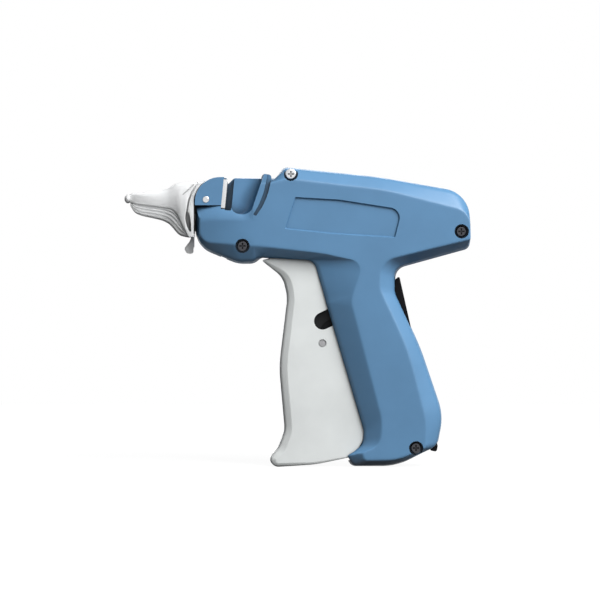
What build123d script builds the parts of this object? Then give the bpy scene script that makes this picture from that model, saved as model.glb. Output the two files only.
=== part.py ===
"""Garment tag attacher: a hand gun that pushes plastic tag fasteners through cloth with a hollow needle.

Millimetres. X runs from the needle tip (-X) to the back of the body (+X), Z is up and Y is the
thickness, with the moulding's parting plane at Y = 0. The gun stands on the toe of its trigger and
the heel of its handle at Z = 0. The left casing is on the -Y side.

Turns are counted as seen in the X-Z outline, from +X towards +Z, which is about the axis -Y.
"""

import os
from math import atan, atan2, cos, degrees, hypot, pi, radians, sin

from build123d import *

# ---------------------------------------------------------------- driving dimensions
HALF_WIDTH = 13.5        # parting plane to the flat side panel
SHOULDER = 9.6           # parting plane to the edge where the bevel starts
WALL = 2.2               # moulded wall
NOSE_END_WIDTH = 9.4     # half thickness of the body at the nose face
NOSE_TAPER_START = -26.0 # X where the side panel starts to turn in
NOSE_TAPER_RADIUS = 22.0
SHOULDER_STEPS = ((0.0, -1.1), (0.13, 0.35))   # rounded shoulder: share of the bevel, depth from it
CREASE_STEPS = ((0.82, -0.55), (1.0, 0.0))     # rounded crease: share of the bevel, depth from the panel

RUNNING = 0.05           # radial clearance of a pin that turns in a bore
SEAT = 0.02              # radial clearance of a fixed pin or screw in its bore
SIDE_PLAY = 0.3          # sideways clearance between parts that move past each other

AXIS_FRONT = (-48.7, 125.3)   # where the needle's line leaves the nose face
AXIS_TILT = 5.5               # degrees, nose up
STROKE = 48.0                 # travel of the push rod

TRIGGER_PIVOT = (-3.0, 106.5)
TRIGGER_SWING = 19.0
TRIGGER_HALF = 7.5
TRIGGER_WALL = 2.0
TRIGGER_EDGE = 3.0            # thickness of the finger-side wall
PIVOT_PIN_R = 2.0
HUB_R = 4.4

LEVER_PIVOT = (23.4, 76.6)
LEVER_HALF = 2.5
LEVER_HUB_R = 5.2
LEVER_ARM_R = 4.9
DRIVE_PIN = (12.1, 59.0)
DRIVE_PIN_R = 1.5
CAM_WEB = 0.6                 # half thickness of the lever's web between its cam grooves
TRIGGER_SLOT_R = 4.1

SLIDER_HALF_HEIGHT = 7.0
SLIDER_HALF = 6.2
SLIDER_FRONT = 18.0           # slider pin to the slider's front
SLIDER_NOSE = 5.5             # solid length of the slider in front of its fork
SLIDER_REAR = 6.0             # slider pin to the ends of the fork
SHOE_HALF = 1.5
RAIL = 1.5
RAIL_REACH = 3.4
ROD_R = 0.8
ROD_PLAY = 0.15               # radial room of the push rod in the needle hub
SLIDER_PIN_R = 1.6

CHANNEL_FRONT = 14.45         # along the needle's line, from the nose face
CHANNEL_LENGTH = 2.9
CHANNEL_HALF = 2.2
CHANNEL_FLOOR = -1.4          # bottom of the side slit, across the needle's line
CUTTER_THICKNESS = 1.9

NEEDLE_R = 1.25
NEEDLE_BORE_R = 0.95
NEEDLE_SLOT = 0.6
NEEDLE_REACH = 28.5           # needle tip in front of the nose face
HUB_HALF = 3.2
HUB_HEIGHT = (-4.2, 3.0)
FLANGE = 2.6                  # plate of the needle hub in front of the nose face
NEEDLE_SEAT = 4.0             # solid end of the hub behind the needle
HUB_PIN_R = 1.9               # bore in the hub's side for the nose pin's end
FLANGE_GAP = 0.9              # between the plate's edge and the cap

FEED_WHEEL_AT = (23.4, -7.9)  # along and across the needle's line
FEED_WHEEL_R = 6.6
FEED_TEETH = 16
FEED_TOOTH = 1.1
FEED_HALF = 1.8
FEED_SHAFT_R = 1.3
FEED_PIN_R = 1.0
FEED_HUB_R = 3.4
FEED_LEVER = 2.0              # thickness of the feed lever and of the trigger's finger
FINGER_R = 2.6                # half width of the feed lever and the finger
PAWL_R = 0.4

SCREWS = ((-2.9, 139.6), (-25.9, 105.4), (78.2, 112.3), (56.6, 9.3))
SCREW_HEAD_R = 2.6
SCREW_HEAD = 1.9
SCREW_R = 1.4
SCREW_DEPTH = 2.4             # head top below the panel
COUNTERBORE_R = 3.4
SCREW_BOSS_R = 4.6

CAP_BALL_R = 2.15
CAP_GAP = 0.6                 # cap collar to nose face
CAP_WALL = 1.5
CAP_BORE_R = 1.75

SPRING_R = 3.1                # mean radius of the return spring
SPRING_WIRE_R = 0.45
SPRING_PITCH = 1.05
SPRING_TURNS = 4
SPRING_NEAR = -4.8            # first turn, from the parting plane

ROD_LENGTH = 62.8             # push rod in front of the slider

# ---------------------------------------------------------------- outline of the gun
# Each station is a corner of the outline and the matching corner of the flat side panel:
# name, outline (x, z, radius), panel (x, z, radius).
CASING = (
    ("nose_top", (-48.7, 138.3, 12.0), (-46.6, 135.8, 9.0)),
    ("rim_valley", (-10.2, 138.0, 2.0), (-12.0, 135.6, 3.0)),
    ("boss_top", (-6.4, 143.4, 3.4), (-4.5, 137.4, 8.0)),
    ("top", (38.5, 138.8, 200.0), (43.0, 131.8, 110.0)),
    ("rear_top", (81.9, 131.2, 13.0), (82.2, 121.6, 8.5)),
    ("rear_under", (83.0, 104.5, 3.4), (82.5, 108.4, 1.4)),
    ("neck_top", (47.2, 94.6, 6.0), (39.6, 98.0, 9.0)),
    ("neck", (47.2, 82.9, 10.0), (39.6, 84.6, 9.0)),
    ("back", (59.2, 57.0, 120.0), (52.8, 56.0, 100.0)),
    ("heel_back", (70.2, 24.5, 12.0), (61.6, 22.0, 60.0)),
    ("heel_low", (67.4, 10.0, 6.0), (61.1, 9.4, 3.4)),
    ("heel", (47.8, 0.0, 30.0), (47.5, 1.9, 26.0)),
    ("toe_low", (26.2, 0.0, 3.6), (32.3, 1.4, 2.6)),
    ("toe_tip", (22.8, 5.2, 0.8), (30.7, 5.4, 1.2)),
    ("toe_cup", (31.2, 10.4, 6.0), (39.6, 10.6, 7.0)),
    ("handle_low", (31.4, 17.6, 9.0), (40.5, 22.6, 24.0)),
    ("handle_up", (13.4, 78.3, 40.0), (25.6, 79.5, 12.0)),
    ("handle_top", (7.2, 98.9, 11.0), (31.8, 97.6, 5.4)),
    ("trigger_roof", (-1.0, 99.8, 30.0), (12.0, 101.9, 60.0)),
    ("mouth_edge", (-17.0, 100.6, 1.2), (-12.5, 104.6, 30.0)),
    ("mouth_front", (-20.6, 97.1, 2.0), (-20.5, 105.3, 20.0)),
    ("chin_low", (-28.5, 97.0, 7.0), (-30.5, 106.1, 24.0)),
    ("chin", (-48.7, 105.4, 12.0), (-46.6, 107.2, 6.0)),
)
HIDDEN_IN_CAVITY = ("rim_valley", "toe_tip", "toe_cup", "trigger_roof", "mouth_edge", "mouth_front")

LABEL = ((-1.0, 128.6, 0.6), (20.6, 127.3, 40.0), (50.0, 122.7, 5.0), (46.6, 109.2, 0.6),
         (16.0, 111.1, 40.0), (-5.8, 113.4, 0.6))
LABEL_DEPTH = 0.7

# Corners of the trigger's side outline: name, x, z, radius.
TRIGGER = (
    ("tip", -16.9, 98.6, 0.5),
    ("finger_top", -6.9, 90.6, 11.0),
    ("finger_high", -4.6, 81.2, 20.0),
    ("finger_middle", -8.6, 48.0, 60.0),
    ("finger_low", -5.9, 17.5, 12.0),
    ("toe_neck", -9.0, 9.0, 14.0),
    ("toe_front", -13.5, 3.4, 2.4),
    ("toe_bottom", -10.6, -0.1, 4.0),
    ("bottom", 9.0, 1.2, 60.0),
    ("bottom_rear", 27.0, 5.0, 6.0),
    ("rear_low", 33.2, 15.5, 6.0),
    ("rear", 23.0, 60.0, 30.0),
    ("rear_high", 17.0, 84.0, 20.0),
    ("shoulder", 8.5, 101.0, 6.0),
    ("hub_rear", 1.4, 111.0, 4.3),
    ("hub_front", -7.4, 111.0, 4.3),
    ("hub_under", -8.6, 101.0, 2.0),
)
HIDDEN_IN_TRIGGER = ("tip", "toe_front", "hub_under", "hub_rear", "shoulder")
FINGER_ROUND = ((0.0, -3.4), (0.5, -1.3), (1.3, -0.4), (2.8, 0.0))  # inset, depth from the cheek
FINGER_SHARES = {"finger_top": 1.0, "finger_high": 1.0, "finger_middle": 1.0, "finger_low": 1.0,
                 "toe_neck": 1.0, "toe_front": 0.7, "toe_bottom": 0.5, "bottom": 0.3}
OTHER_SHARE = 0.15            # how much of that rounding the trigger's other edges have

CAP_LENGTH = NEEDLE_REACH + 3.2
# Arched sections of the cap: share of its length from the nose face, then the top and the hem
# above the needle's line, and the half width.
CAP_BODY = (
    (1.0, 1.65, -1.45, 1.6),
    (0.93, 2.8, -1.8, 2.3),
    (0.80, 3.8, -2.2, 2.9),
    (0.67, 4.5, -2.4, 3.4),
    (0.54, 5.3, -2.6, 4.0),
    (0.43, 6.6, -2.9, 4.8),
    (0.34, 8.5, -3.5, 5.9),
    (0.26, 9.7, -5.8, 7.2),
    (0.215, 10.1, -8.2, 7.9),
    (0.17, 10.4, -11.0, 8.5),
    (0.125, 10.7, -13.7, 8.9),
    (0.08, 10.9, -15.2, 9.3),
    (0.03, 11.2, -15.5, 9.5),
    (-0.03, 11.5, -15.5, 9.6),
    (-0.10, 11.8, -15.5, 9.7),
    (-0.18, 12.1, -15.5, 9.8),
)
COLLAR = 11                     # the section just in front of the nose face
CAP_HOLLOW_FROM = 5             # the first hollow section
# Hanging sections of the ribbed keel: share of the cap's length, bottom, half width.
CAP_KEEL = (
    (0.985, -3.5, 0.9),
    (0.95, -5.3, 1.3),
    (0.90, -6.8, 1.6),
    (0.80, -7.7, 2.1),
    (0.67, -8.2, 2.5),
    (0.54, -8.9, 2.9),
    (0.42, -10.2, 3.6),
    (0.35, -11.9, 4.1),
    (0.29, -13.9, 4.7),
    (0.23, -15.3, 5.3),
    (0.15, -15.9, 5.9),
    (0.10, -15.9, 6.3),
)
KEEL_RIBS = 6                   # on each side
KEEL_RIB_DEPTH = 0.07           # share of the keel's size
KEEL_LAP = 0.5                  # keel's top above the hem

NOSE_SEAT = (-50.0, 124.4)      # front edge and floor of the left casing's open corner
NOSE_BLOCK_HALF = 8.2           # parting plane to the face of the nose block
LEDGE_LOW = 119.4               # the bevelled ledge under the nose block
LEDGE_HIGH = 124.4
LEDGE_DEPTH = 3.0
LEDGE_REAR = -25.5
NOSE_PIN = (-43.4, 127.6)
NOSE_PIN_R = 1.6
NOSE_PIN_NEAR = 3.8             # parting plane to the pin's hidden end
SCOOP = ((-31.0, 150, 0.5), (-31.5, 121.4, 4.0), (-22.4, 119.6, 5.0), (-15.8, 139.0, 3.0),
         (-15.0, 150, 0.5))
SCOOP_WALL = 3.0
SCOOP_REAR = (2, 3, 4)          # corners of the scoop's rear wall
SCOOP_FLOOR = ((3.6, 0.0), (1.8, 0.5), (0.5, 1.8), (0.0, 3.6))  # shift of that wall, height
SCOOP_SHRINK = 0.12             # share of the corner radii lost for each millimetre of shift
GROOVE = ((-11.6, 150, 0.5), (-12.8, 137.6, 5.0), (-16.3, 126.7, 30.0), (-20.9, 119.2, 0.5),
          (-22.2, 120.4, 0.5), (-17.9, 127.4, 30.0), (-14.4, 137.8, 5.0), (-13.4, 150, 0.5))
GROOVE_DEPTH = 2.0
LIP = ((-17.6, 134.0, 0.5), (-16.9, 139.6, 1.4), (-13.6, 139.6, 1.4), (-13.2, 134.0, 0.5))
LIP_WALL = 1.2                  # lip below the side panel

LOCK_AT = -50.1
LOCK_STEM_R = 0.9
LOCK_TOP = 114.0
LOCK_TAB = ((-49.6, 108.6, 0.5), (-51.2, 108.6, 0.6), (-54.4, 104.8, 1.6), (-53.4, 101.8, 1.6),
            (-49.6, 102.0, 0.8))

STRAP = ((49.0, 91.2, 0.6), (67.4, 9.8, 1.0), (66.9, 7.0, 1.0), (63.9, 7.6, 1.0),
         (46.0, 88.4, 1.0))
STRAP_HALF = 3.0


# ---------------------------------------------------------------- drawing helpers
def turned(point, centre, angle):
    """A point of the X-Z outline turned about a centre."""
    dx, dz = point[0] - centre[0], point[1] - centre[1]
    c, s = cos(radians(angle)), sin(radians(angle))
    return (centre[0] + dx * c - dz * s, centre[1] + dx * s + dz * c)


def on_axis(along, across=0.0):
    """X-Z point at a distance behind the nose face and a height above the needle's line."""
    c, s = cos(radians(AXIS_TILT)), sin(radians(AXIS_TILT))
    return (AXIS_FRONT[0] + along * c + across * s, AXIS_FRONT[1] - along * s + across * c)


def rounded(corners):
    """A closed face of straight runs and tangent arcs from (x, z, radius) corners."""
    line = FilletPolyline(*[(x, z) for x, z, r in corners], radius=[r for x, z, r in corners],
                          close=True)
    return make_face(line)


def inset_corners(corners, distance):
    """The corners moved square to their two sides into the outline, with radii to suit."""
    area = sum(corners[i - 1][0] * z - x * corners[i - 1][1] for i, (x, z, r) in enumerate(corners))
    side = 1 if area < 0 else -1
    result = []
    for i, (x, z, r) in enumerate(corners):
        px, pz = corners[i - 1][:2]
        qx, qz = corners[(i + 1) % len(corners)][:2]
        a = atan2(z - pz, x - px)
        b = atan2(qz - z, qx - x)
        turn = (b - a + pi) % (2 * pi) - pi
        middle = a + turn / 2 - side * pi / 2
        reach = distance / cos(turn / 2)
        radius = r - distance if turn * side < 0 else r + distance
        result.append((x + reach * cos(middle), z + reach * sin(middle), max(radius, 0.3)))
    return result


def slab(face, near, far):
    """An X-Z face made solid from Y = -near to Y = -far."""
    return extrude(Plane.XZ.offset(near) * face, far - near)


def disc(centre, radius, near, far):
    """A round bar along Y."""
    return slab(Pos(*centre) * Circle(radius), near, far)


def mirrored(solid):
    """The same piece on the other side of the parting plane."""
    return mirror(solid, Plane.XZ)


def both_sides(solid):
    """A piece and its mirror image as one shape."""
    return solid + mirrored(solid)


def axis_box(along, across, near, far):
    """A block square to the needle's line, from Y = -near to Y = -far."""
    corners = [on_axis(along[0], across[0]), on_axis(along[1], across[0]),
               on_axis(along[1], across[1]), on_axis(along[0], across[1])]
    return slab(make_face(Polyline(*corners, close=True)), near, far)


def axis_rod(radius, start, end, across=0.0):
    """A round bar along the needle's line."""
    x, z = on_axis(start, across)
    c, s = cos(radians(AXIS_TILT)), sin(radians(AXIS_TILT))
    plane = Plane(origin=(x, 0, z), x_dir=(0, 1, 0), z_dir=(c, 0, -s))
    return extrude(plane * Circle(radius), end - start)


def bar(start, end, radius, near, far):
    """A flat link with round ends."""
    return slab(make_hull([*(Pos(*start) * Circle(radius)).edges(),
                           *(Pos(*end) * Circle(radius)).edges()]), near, far)


def path_slot(points, radius):
    """A face that a round pin of the given radius sweeps along a smooth path."""
    left, right = [], []
    for i, (x, z) in enumerate(points):
        bx, bz = points[max(i - 1, 0)]
        fx, fz = points[min(i + 1, len(points) - 1)]
        run = hypot(fx - bx, fz - bz)
        nx, nz = -(fz - bz) / run * radius, (fx - bx) / run * radius
        left.append((x + nx, z + nz))
        right.append((x - nx, z - nz))
    bx, bz = points[0]
    cx, cz = points[1]
    run = hypot(cx - bx, cz - bz)
    start = (bx - (cx - bx) / run * radius, bz - (cz - bz) / run * radius)
    dx, dz = points[-1]
    ex, ez = points[-2]
    run = hypot(dx - ex, dz - ez)
    end = (dx + (dx - ex) / run * radius, dz + (dz - ez) / run * radius)
    edges = [Spline(*left), ThreePointArc(left[-1], end, right[-1]), Spline(*right[::-1]),
             ThreePointArc(right[0], start, left[0])]
    return make_face(edges)


def travel(steps=9):
    """Shares of the trigger's swing, from rest to fully squeezed."""
    return [i / (steps - 1) for i in range(steps)]


# ---------------------------------------------------------------- mechanism, worked out
TRIGGER_SLOT_END = turned(LEVER_PIVOT, TRIGGER_PIVOT, -TRIGGER_SWING)

LEVER_ALONG = ((LEVER_PIVOT[0] - AXIS_FRONT[0]) * cos(radians(AXIS_TILT))
               - (LEVER_PIVOT[1] - AXIS_FRONT[1]) * sin(radians(AXIS_TILT)))
LEVER_BELOW = -((LEVER_PIVOT[0] - AXIS_FRONT[0]) * sin(radians(AXIS_TILT))
                + (LEVER_PIVOT[1] - AXIS_FRONT[1]) * cos(radians(AXIS_TILT)))
LEVER_SWING = 2 * degrees(atan(STROKE / 2 / LEVER_BELOW))
SLIDER_REST = LEVER_ALONG + STROKE / 2

FEED_CENTRE = on_axis(*FEED_WHEEL_AT)
FEED_SWING = -360.0 / FEED_TEETH
FEED_GAP = hypot(FEED_CENTRE[0] - TRIGGER_PIVOT[0], FEED_CENTRE[1] - TRIGGER_PIVOT[1])
FEED_ARM = FEED_GAP / (1 - FEED_SWING / TRIGGER_SWING)
FEED_SHARE = FEED_ARM / FEED_GAP
FEED_PIN = (FEED_CENTRE[0] + (TRIGGER_PIVOT[0] - FEED_CENTRE[0]) * FEED_SHARE,
            FEED_CENTRE[1] + (TRIGGER_PIVOT[1] - FEED_CENTRE[1]) * FEED_SHARE)


FEED_PHASE = atan2(FEED_PIN[1] - FEED_CENTRE[1], FEED_PIN[0] - FEED_CENTRE[0]) + pi / FEED_TEETH
FEED_NEAR = FEED_HALF + SIDE_PLAY
FINGER_NEAR = FEED_NEAR + FEED_LEVER + SIDE_PLAY
FINGER_FAR = FINGER_NEAR + FEED_LEVER - 0.2


def lever_path_of_drive_pin():
    """Where the trigger's drive pin lies on the main lever, through the squeeze."""
    return [turned(turned(DRIVE_PIN, TRIGGER_PIVOT, TRIGGER_SWING * t), LEVER_PIVOT,
                   -LEVER_SWING * t) for t in travel()]


def lever_path_of_slider_pin():
    """Where the slider's pin lies on the main lever, through the squeeze."""
    return [turned(on_axis(SLIDER_REST - STROKE * t), LEVER_PIVOT, -LEVER_SWING * t)
            for t in travel()]


def feed_path_of_pin():
    """Where the trigger's feed pin lies on the feed lever, through the squeeze."""
    return [turned(turned(FEED_PIN, TRIGGER_PIVOT, TRIGGER_SWING * t), FEED_CENTRE,
                   -FEED_SWING * t) for t in travel(5)]


# ---------------------------------------------------------------- casings
def casing_form(stations, inset=0.0):
    """Half of the gun's form: straight sides to the shoulder, then a bevel to the flat panel."""
    outline = inset_corners([s[1] for s in stations], inset)
    panel = inset_corners([s[2] for s in stations], inset)
    levels = [(share, SHOULDER + rise) for share, rise in SHOULDER_STEPS]
    levels += [(share, HALF_WIDTH + rise) for share, rise in CREASE_STEPS]
    if inset:
        levels = [(0.0, SHOULDER), (1.0, HALF_WIDTH)]
    rings = [(rounded(between(outline, panel, share)), depth - inset) for share, depth in levels]
    form = slab(rings[0][0], 0, rings[0][1])
    for (low, near), (high, far) in zip(rings, rings[1:]):
        form += loft([Plane.XZ.offset(near) * low, Plane.XZ.offset(far) * high], ruled=True)
    return form - nose_taper(inset)


def between(corners, others, share):
    """Corners part of the way from one outline to another."""
    return [tuple(a + (b - a) * share for a, b in zip(one, two))
            for one, two in zip(corners, others)]


def nose_taper(inset=0.0):
    """The wedge outside the nose, whose side panel turns in towards the needle."""
    start = NOSE_TAPER_START
    front = AXIS_FRONT[0] - 4
    slope = (HALF_WIDTH - NOSE_END_WIDTH) / (start - AXIS_FRONT[0])
    deep = HALF_WIDTH + 6
    side = FilletPolyline((start + 20, -HALF_WIDTH + inset), (start, -HALF_WIDTH + inset),
                          (front, -HALF_WIDTH + inset + slope * (start - front)),
                          radius=[NOSE_TAPER_RADIUS])
    rest = Polyline(side @ 1, (front, -deep), (start + 20, -deep), side @ 0)
    return extrude(Plane.XY.offset(90) * make_face([*side.edges(), *rest.edges()]), 60)


def cavity():
    """The hollow between a casing's walls, behind the solid nose."""
    stations = [s for s in CASING if s[0] not in HIDDEN_IN_CAVITY]
    hollow = casing_form(stations, WALL)
    nose = slab(Pos(-40, 120) * Rectangle(66, 80), 0, HALF_WIDTH)
    front = SLIDER_REST - STROKE - SLIDER_FRONT - 1
    height = SLIDER_HALF_HEIGHT + RUNNING
    lane = axis_box((front, SLIDER_REST), (-height, height), 0, HALF_WIDTH - WALL)
    return hollow - nose + lane


def trigger_mouth():
    """The opening between the casings through which the trigger swings in."""
    low = TRIGGER_HALF + SIDE_PLAY
    corners = ((-17.6, 90, 0), (-17.6, 104.5, 2), (-9, 111.5, 2), (6, 111.5, 3), (24, 99, 6),
               (34, 60, 20), (40, 22, 8), (31.5, 2.6, 2), (10, 2.6, 0))
    return slab(rounded([(x, z, max(r, 0.4)) for x, z, r in corners]), 0, low)


def rails():
    """Two ribs inside each casing that the slider runs between."""
    start, end = SLIDER_REST - STROKE - SLIDER_FRONT + 5, SLIDER_REST + SLIDER_REAR + 3
    gap = SLIDER_HALF_HEIGHT + RUNNING
    upper = axis_box((start, end), (gap, gap + RAIL), RAIL_REACH, HALF_WIDTH - WALL)
    lower = axis_box((start, end), (-gap - RAIL, -gap), RAIL_REACH, HALF_WIDTH - WALL)
    return upper + lower


def pin_bosses():
    """Bosses that carry the trigger pin and the lever pin."""
    start = TRIGGER_HALF + SIDE_PLAY
    end = HALF_WIDTH - WALL
    return (disc(TRIGGER_PIVOT, HUB_R, start, end) + disc(LEVER_PIVOT, HUB_R, start, end))


def pin_holes():
    """Blind holes in the bosses."""
    end = HALF_WIDTH - WALL
    return (disc(TRIGGER_PIVOT, PIVOT_PIN_R + SEAT, 0, end)
            + disc(LEVER_PIVOT, PIVOT_PIN_R + SEAT, 0, end))


def nose_cuts():
    """What the nose holds: fastener channel, feed wheel, push rod, needle hub."""
    rear = CHANNEL_FRONT + CHANNEL_LENGTH
    channel = axis_box((CHANNEL_FRONT, rear), (-40, 20), 0, CHANNEL_HALF)
    wheel = disc(FEED_CENTRE, FEED_WHEEL_R + 0.5, 0, FEED_HALF + SIDE_PLAY)
    shaft = disc(FEED_CENTRE, FEED_SHAFT_R + SEAT, 0, HALF_WIDTH - WALL - 2)
    rod = axis_rod(ROD_R + 0.1, CHANNEL_FRONT, SLIDER_REST)
    hub = axis_box((-5, CHANNEL_FRONT), HUB_HEIGHT, 0, HUB_HALF)
    return channel + wheel + shaft + rod + hub


def feed_lever_room():
    """The pocket in which the feed lever and the trigger's finger move."""
    near, far = FEED_HALF, FINGER_FAR + SIDE_PLAY
    room = disc(FEED_CENTRE, FEED_HUB_R + SIDE_PLAY, near, far)
    for t in travel(4):
        pin = turned(FEED_PIN, TRIGGER_PIVOT, TRIGGER_SWING * t)
        room += bar(FEED_CENTRE, pin, FINGER_R + 2 * SIDE_PLAY, near, far)
        room += bar(TRIGGER_PIVOT, pin, FINGER_R + 2 * SIDE_PLAY, near, far)
    return room


def screw_bosses():
    """Round posts that meet at the parting plane."""
    posts = [disc(c, SCREW_BOSS_R, 0, HALF_WIDTH - WALL) for c in SCREWS if c != SCREWS[1]]
    return posts[0] + posts[1] + posts[2]


def casing_blank():
    """What both casings share."""
    form = casing_form(CASING)
    shell = form - cavity()
    shell += (screw_bosses() + rails() + pin_bosses()) & form
    shell -= trigger_mouth()
    return shell - pin_holes() - nose_cuts() - back_strap(SEAT)


def label_recess():
    """A plain shallow recess in the left panel."""
    return slab(rounded(LABEL), HALF_WIDTH - LABEL_DEPTH, HALF_WIDTH + 1)


def scoop():
    """The hollow beside the fastener channel that leaves room for the fasteners' heads."""
    rings = []
    for shift, height in SCOOP_FLOOR:
        corners = [(x - shift if i in SCOOP_REAR else x, z, r * (1 - SCOOP_SHRINK * shift))
                   for i, (x, z, r) in enumerate(SCOOP)]
        rings.append((rounded(corners), SCOOP_WALL + height))
    hollow = slab(rings[-1][0], rings[-1][1], HALF_WIDTH + 1)
    for (low, near), (high, far) in zip(rings, rings[1:]):
        hollow += loft([Plane.XZ.offset(near) * low, Plane.XZ.offset(far) * high], ruled=True)
    return hollow


def nose_seat():
    """The open corner of the left casing in front of the channel, which the nose block fills."""
    left, floor = NOSE_SEAT
    rear = on_axis(CHANNEL_FRONT)[0]
    corners = ((left, floor), (rear + 0.2, floor), (rear + 1.6, 150), (left, 150))
    return slab(make_face(Polyline(*corners, close=True)), 0, HALF_WIDTH + 1)


def side_slit():
    """The slit that lets the fasteners' necks stand out of the channel on the left."""
    rear = CHANNEL_FRONT + CHANNEL_LENGTH
    return axis_box((CHANNEL_FRONT, rear), (CHANNEL_FLOOR, 20), 0, HALF_WIDTH + 1)


def screw_cuts(head):
    """Holes for the casing screws: through with a counterbore, or blind."""
    cuts = []
    for centre in SCREWS:
        if head:
            cuts.append(disc(centre, SCREW_R + SEAT, 0, HALF_WIDTH))
            cuts.append(disc(centre, COUNTERBORE_R, HALF_WIDTH - SCREW_DEPTH - SCREW_HEAD,
                             HALF_WIDTH + 1))
        else:
            cuts.append(disc(centre, SCREW_R + SEAT, 0, HALF_WIDTH - WALL))
    return cuts


def rim_groove():
    """The groove behind the scoop's rim."""
    return slab(rounded(GROOVE), HALF_WIDTH - GROOVE_DEPTH, HALF_WIDTH + 1)


def rim_lip():
    """The scoop's rim, standing a little above the top edge."""
    return slab(rounded(LIP), SCOOP_WALL, HALF_WIDTH - LIP_WALL)


def ledge():
    """What the bevelled ledge below the nose block takes off the tapered side panel."""
    slope = (HALF_WIDTH - NOSE_END_WIDTH) / (NOSE_TAPER_START - AXIS_FRONT[0])
    start = AXIS_FRONT[0] - 4
    panel = -NOSE_END_WIDTH + 4 * slope
    deep, rise = LEDGE_DEPTH, LEDGE_HIGH - LEDGE_LOW
    profile = Polyline((panel + deep, LEDGE_HIGH), (panel - deep, LEDGE_LOW - rise),
                       (panel - deep, 150), (panel + deep, 150), close=True)
    run = (LEDGE_REAR - start) * hypot(1, slope)
    return extrude(Plane.YZ.offset(start) * make_face(profile), run, dir=(1, -slope, 0))


def left_casing():
    """The casing on the side with the screw heads, label recess and fastener slit."""
    shell = casing_blank() + rim_lip()
    shell -= nose_seat() + scoop() + ledge() + rim_groove()
    shell -= side_slit() + cutter_space() + label_recess()
    for cut in screw_cuts(head=True):
        shell -= cut
    shell -= feed_lever_room()
    return shell


def right_casing():
    """The plain casing: nose closed, blind screw holes."""
    shell = casing_blank()
    for cut in screw_cuts(head=False):
        shell -= cut
    return mirrored(shell)


# ---------------------------------------------------------------- fixed pieces
def casing_screws():
    """Pan-head screws from the left, each with a cross recess."""
    screws = []
    top = HALF_WIDTH - SCREW_DEPTH
    for centre in SCREWS:
        head = disc(centre, SCREW_HEAD_R, top - SCREW_HEAD, top)
        head = fillet(head.edges().sort_by(Axis.Y)[0], 0.7)
        shank = disc(centre, SCREW_R, -HALF_WIDTH + WALL + 1, top - SCREW_HEAD)
        cross = slab(Pos(*centre) * (Rectangle(3.0, 0.7) + Rectangle(0.7, 3.0)), top - 0.9, top)
        screws.append(head + shank - cross)
    return screws


def nose_block():
    """The D-shaped block above the needle hub on the left, held by the nose pin."""
    corner = CASING[0][1]
    floor = NOSE_SEAT[1]
    rear = on_axis(CHANNEL_FRONT)[0]
    outline = rounded(((AXIS_FRONT[0], floor + 0.5, 0.4), corner, (rear + 1.4, corner[1], 0.3),
                       (rear + 0.1, floor + 0.5, 0.3)))
    block = slab(outline, 0, NOSE_BLOCK_HALF)
    block -= cutter_space()
    block -= axis_box((-5, CHANNEL_FRONT), (HUB_HEIGHT[0], HUB_HEIGHT[1] + SEAT), 0,
                      HUB_HALF + SEAT)
    return block - disc(NOSE_PIN, NOSE_PIN_R + SEAT, NOSE_PIN_NEAR, NOSE_BLOCK_HALF + 1)


def cutter_space():
    """Where the cutter plate stands, at the front of the channel."""
    start = CHANNEL_FRONT - CUTTER_THICKNESS
    return axis_box((start, CHANNEL_FRONT + 3), (-1.0, 20), 0, HALF_WIDTH)


def cutter_plate():
    """Steel plate with the edge that parts one fastener from the strip."""
    start = CHANNEL_FRONT - CUTTER_THICKNESS
    low = HUB_HEIGHT[1] + RUNNING
    plate = axis_box((start, CHANNEL_FRONT), (low, 13.2), SEAT, NOSE_BLOCK_HALF)
    side = axis_box((start, CHANNEL_FRONT), (-0.5, low), HUB_HALF + RUNNING, NOSE_BLOCK_HALF)
    return plate + side


def nose_pin():
    """Round pin whose end shows on the nose block."""
    pin = disc(NOSE_PIN, NOSE_PIN_R, NOSE_PIN_NEAR, NOSE_BLOCK_HALF + 0.3)
    return fillet(pin.edges().sort_by(Axis.Y)[0], 0.4)


def back_strap(gap=0.0):
    """Black insert between the casings behind the neck, down to the heel."""
    return slab(rounded(inset_corners(STRAP, -gap)), -STRAP_HALF - gap, STRAP_HALF + gap)


def needle_hub():
    """Seat of the needle: block in the nose, flange outside it, bore for the push rod."""
    low, high = HUB_HEIGHT
    block = axis_box((-FLANGE, CHANNEL_FRONT - RUNNING), (low + SEAT, high - SEAT),
                     -HUB_HALF + SEAT, HUB_HALF - SEAT)
    outline = arch(*CAP_BODY[COLLAR], wall=CAP_WALL + FLANGE_GAP)
    reach = AXIS_FRONT[0] - outline.center().X
    plate = extrude(outline, reach - RUNNING) - extrude(outline, reach - FLANGE)
    hub = block + plate
    hub -= axis_rod(NEEDLE_R + SEAT, -2 * FLANGE, CHANNEL_FRONT - NEEDLE_SEAT)
    hub -= axis_rod(ROD_R + ROD_PLAY, -2 * FLANGE, CHANNEL_FRONT + 1)
    hub -= disc(NOSE_PIN, HUB_PIN_R, HUB_HALF - 0.8, HUB_HALF + 1)
    return hub - lock_stem(LOCK_STEM_R + RUNNING, LOCK_TAB[0][1], LOCK_TOP + 0.3)


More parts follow.
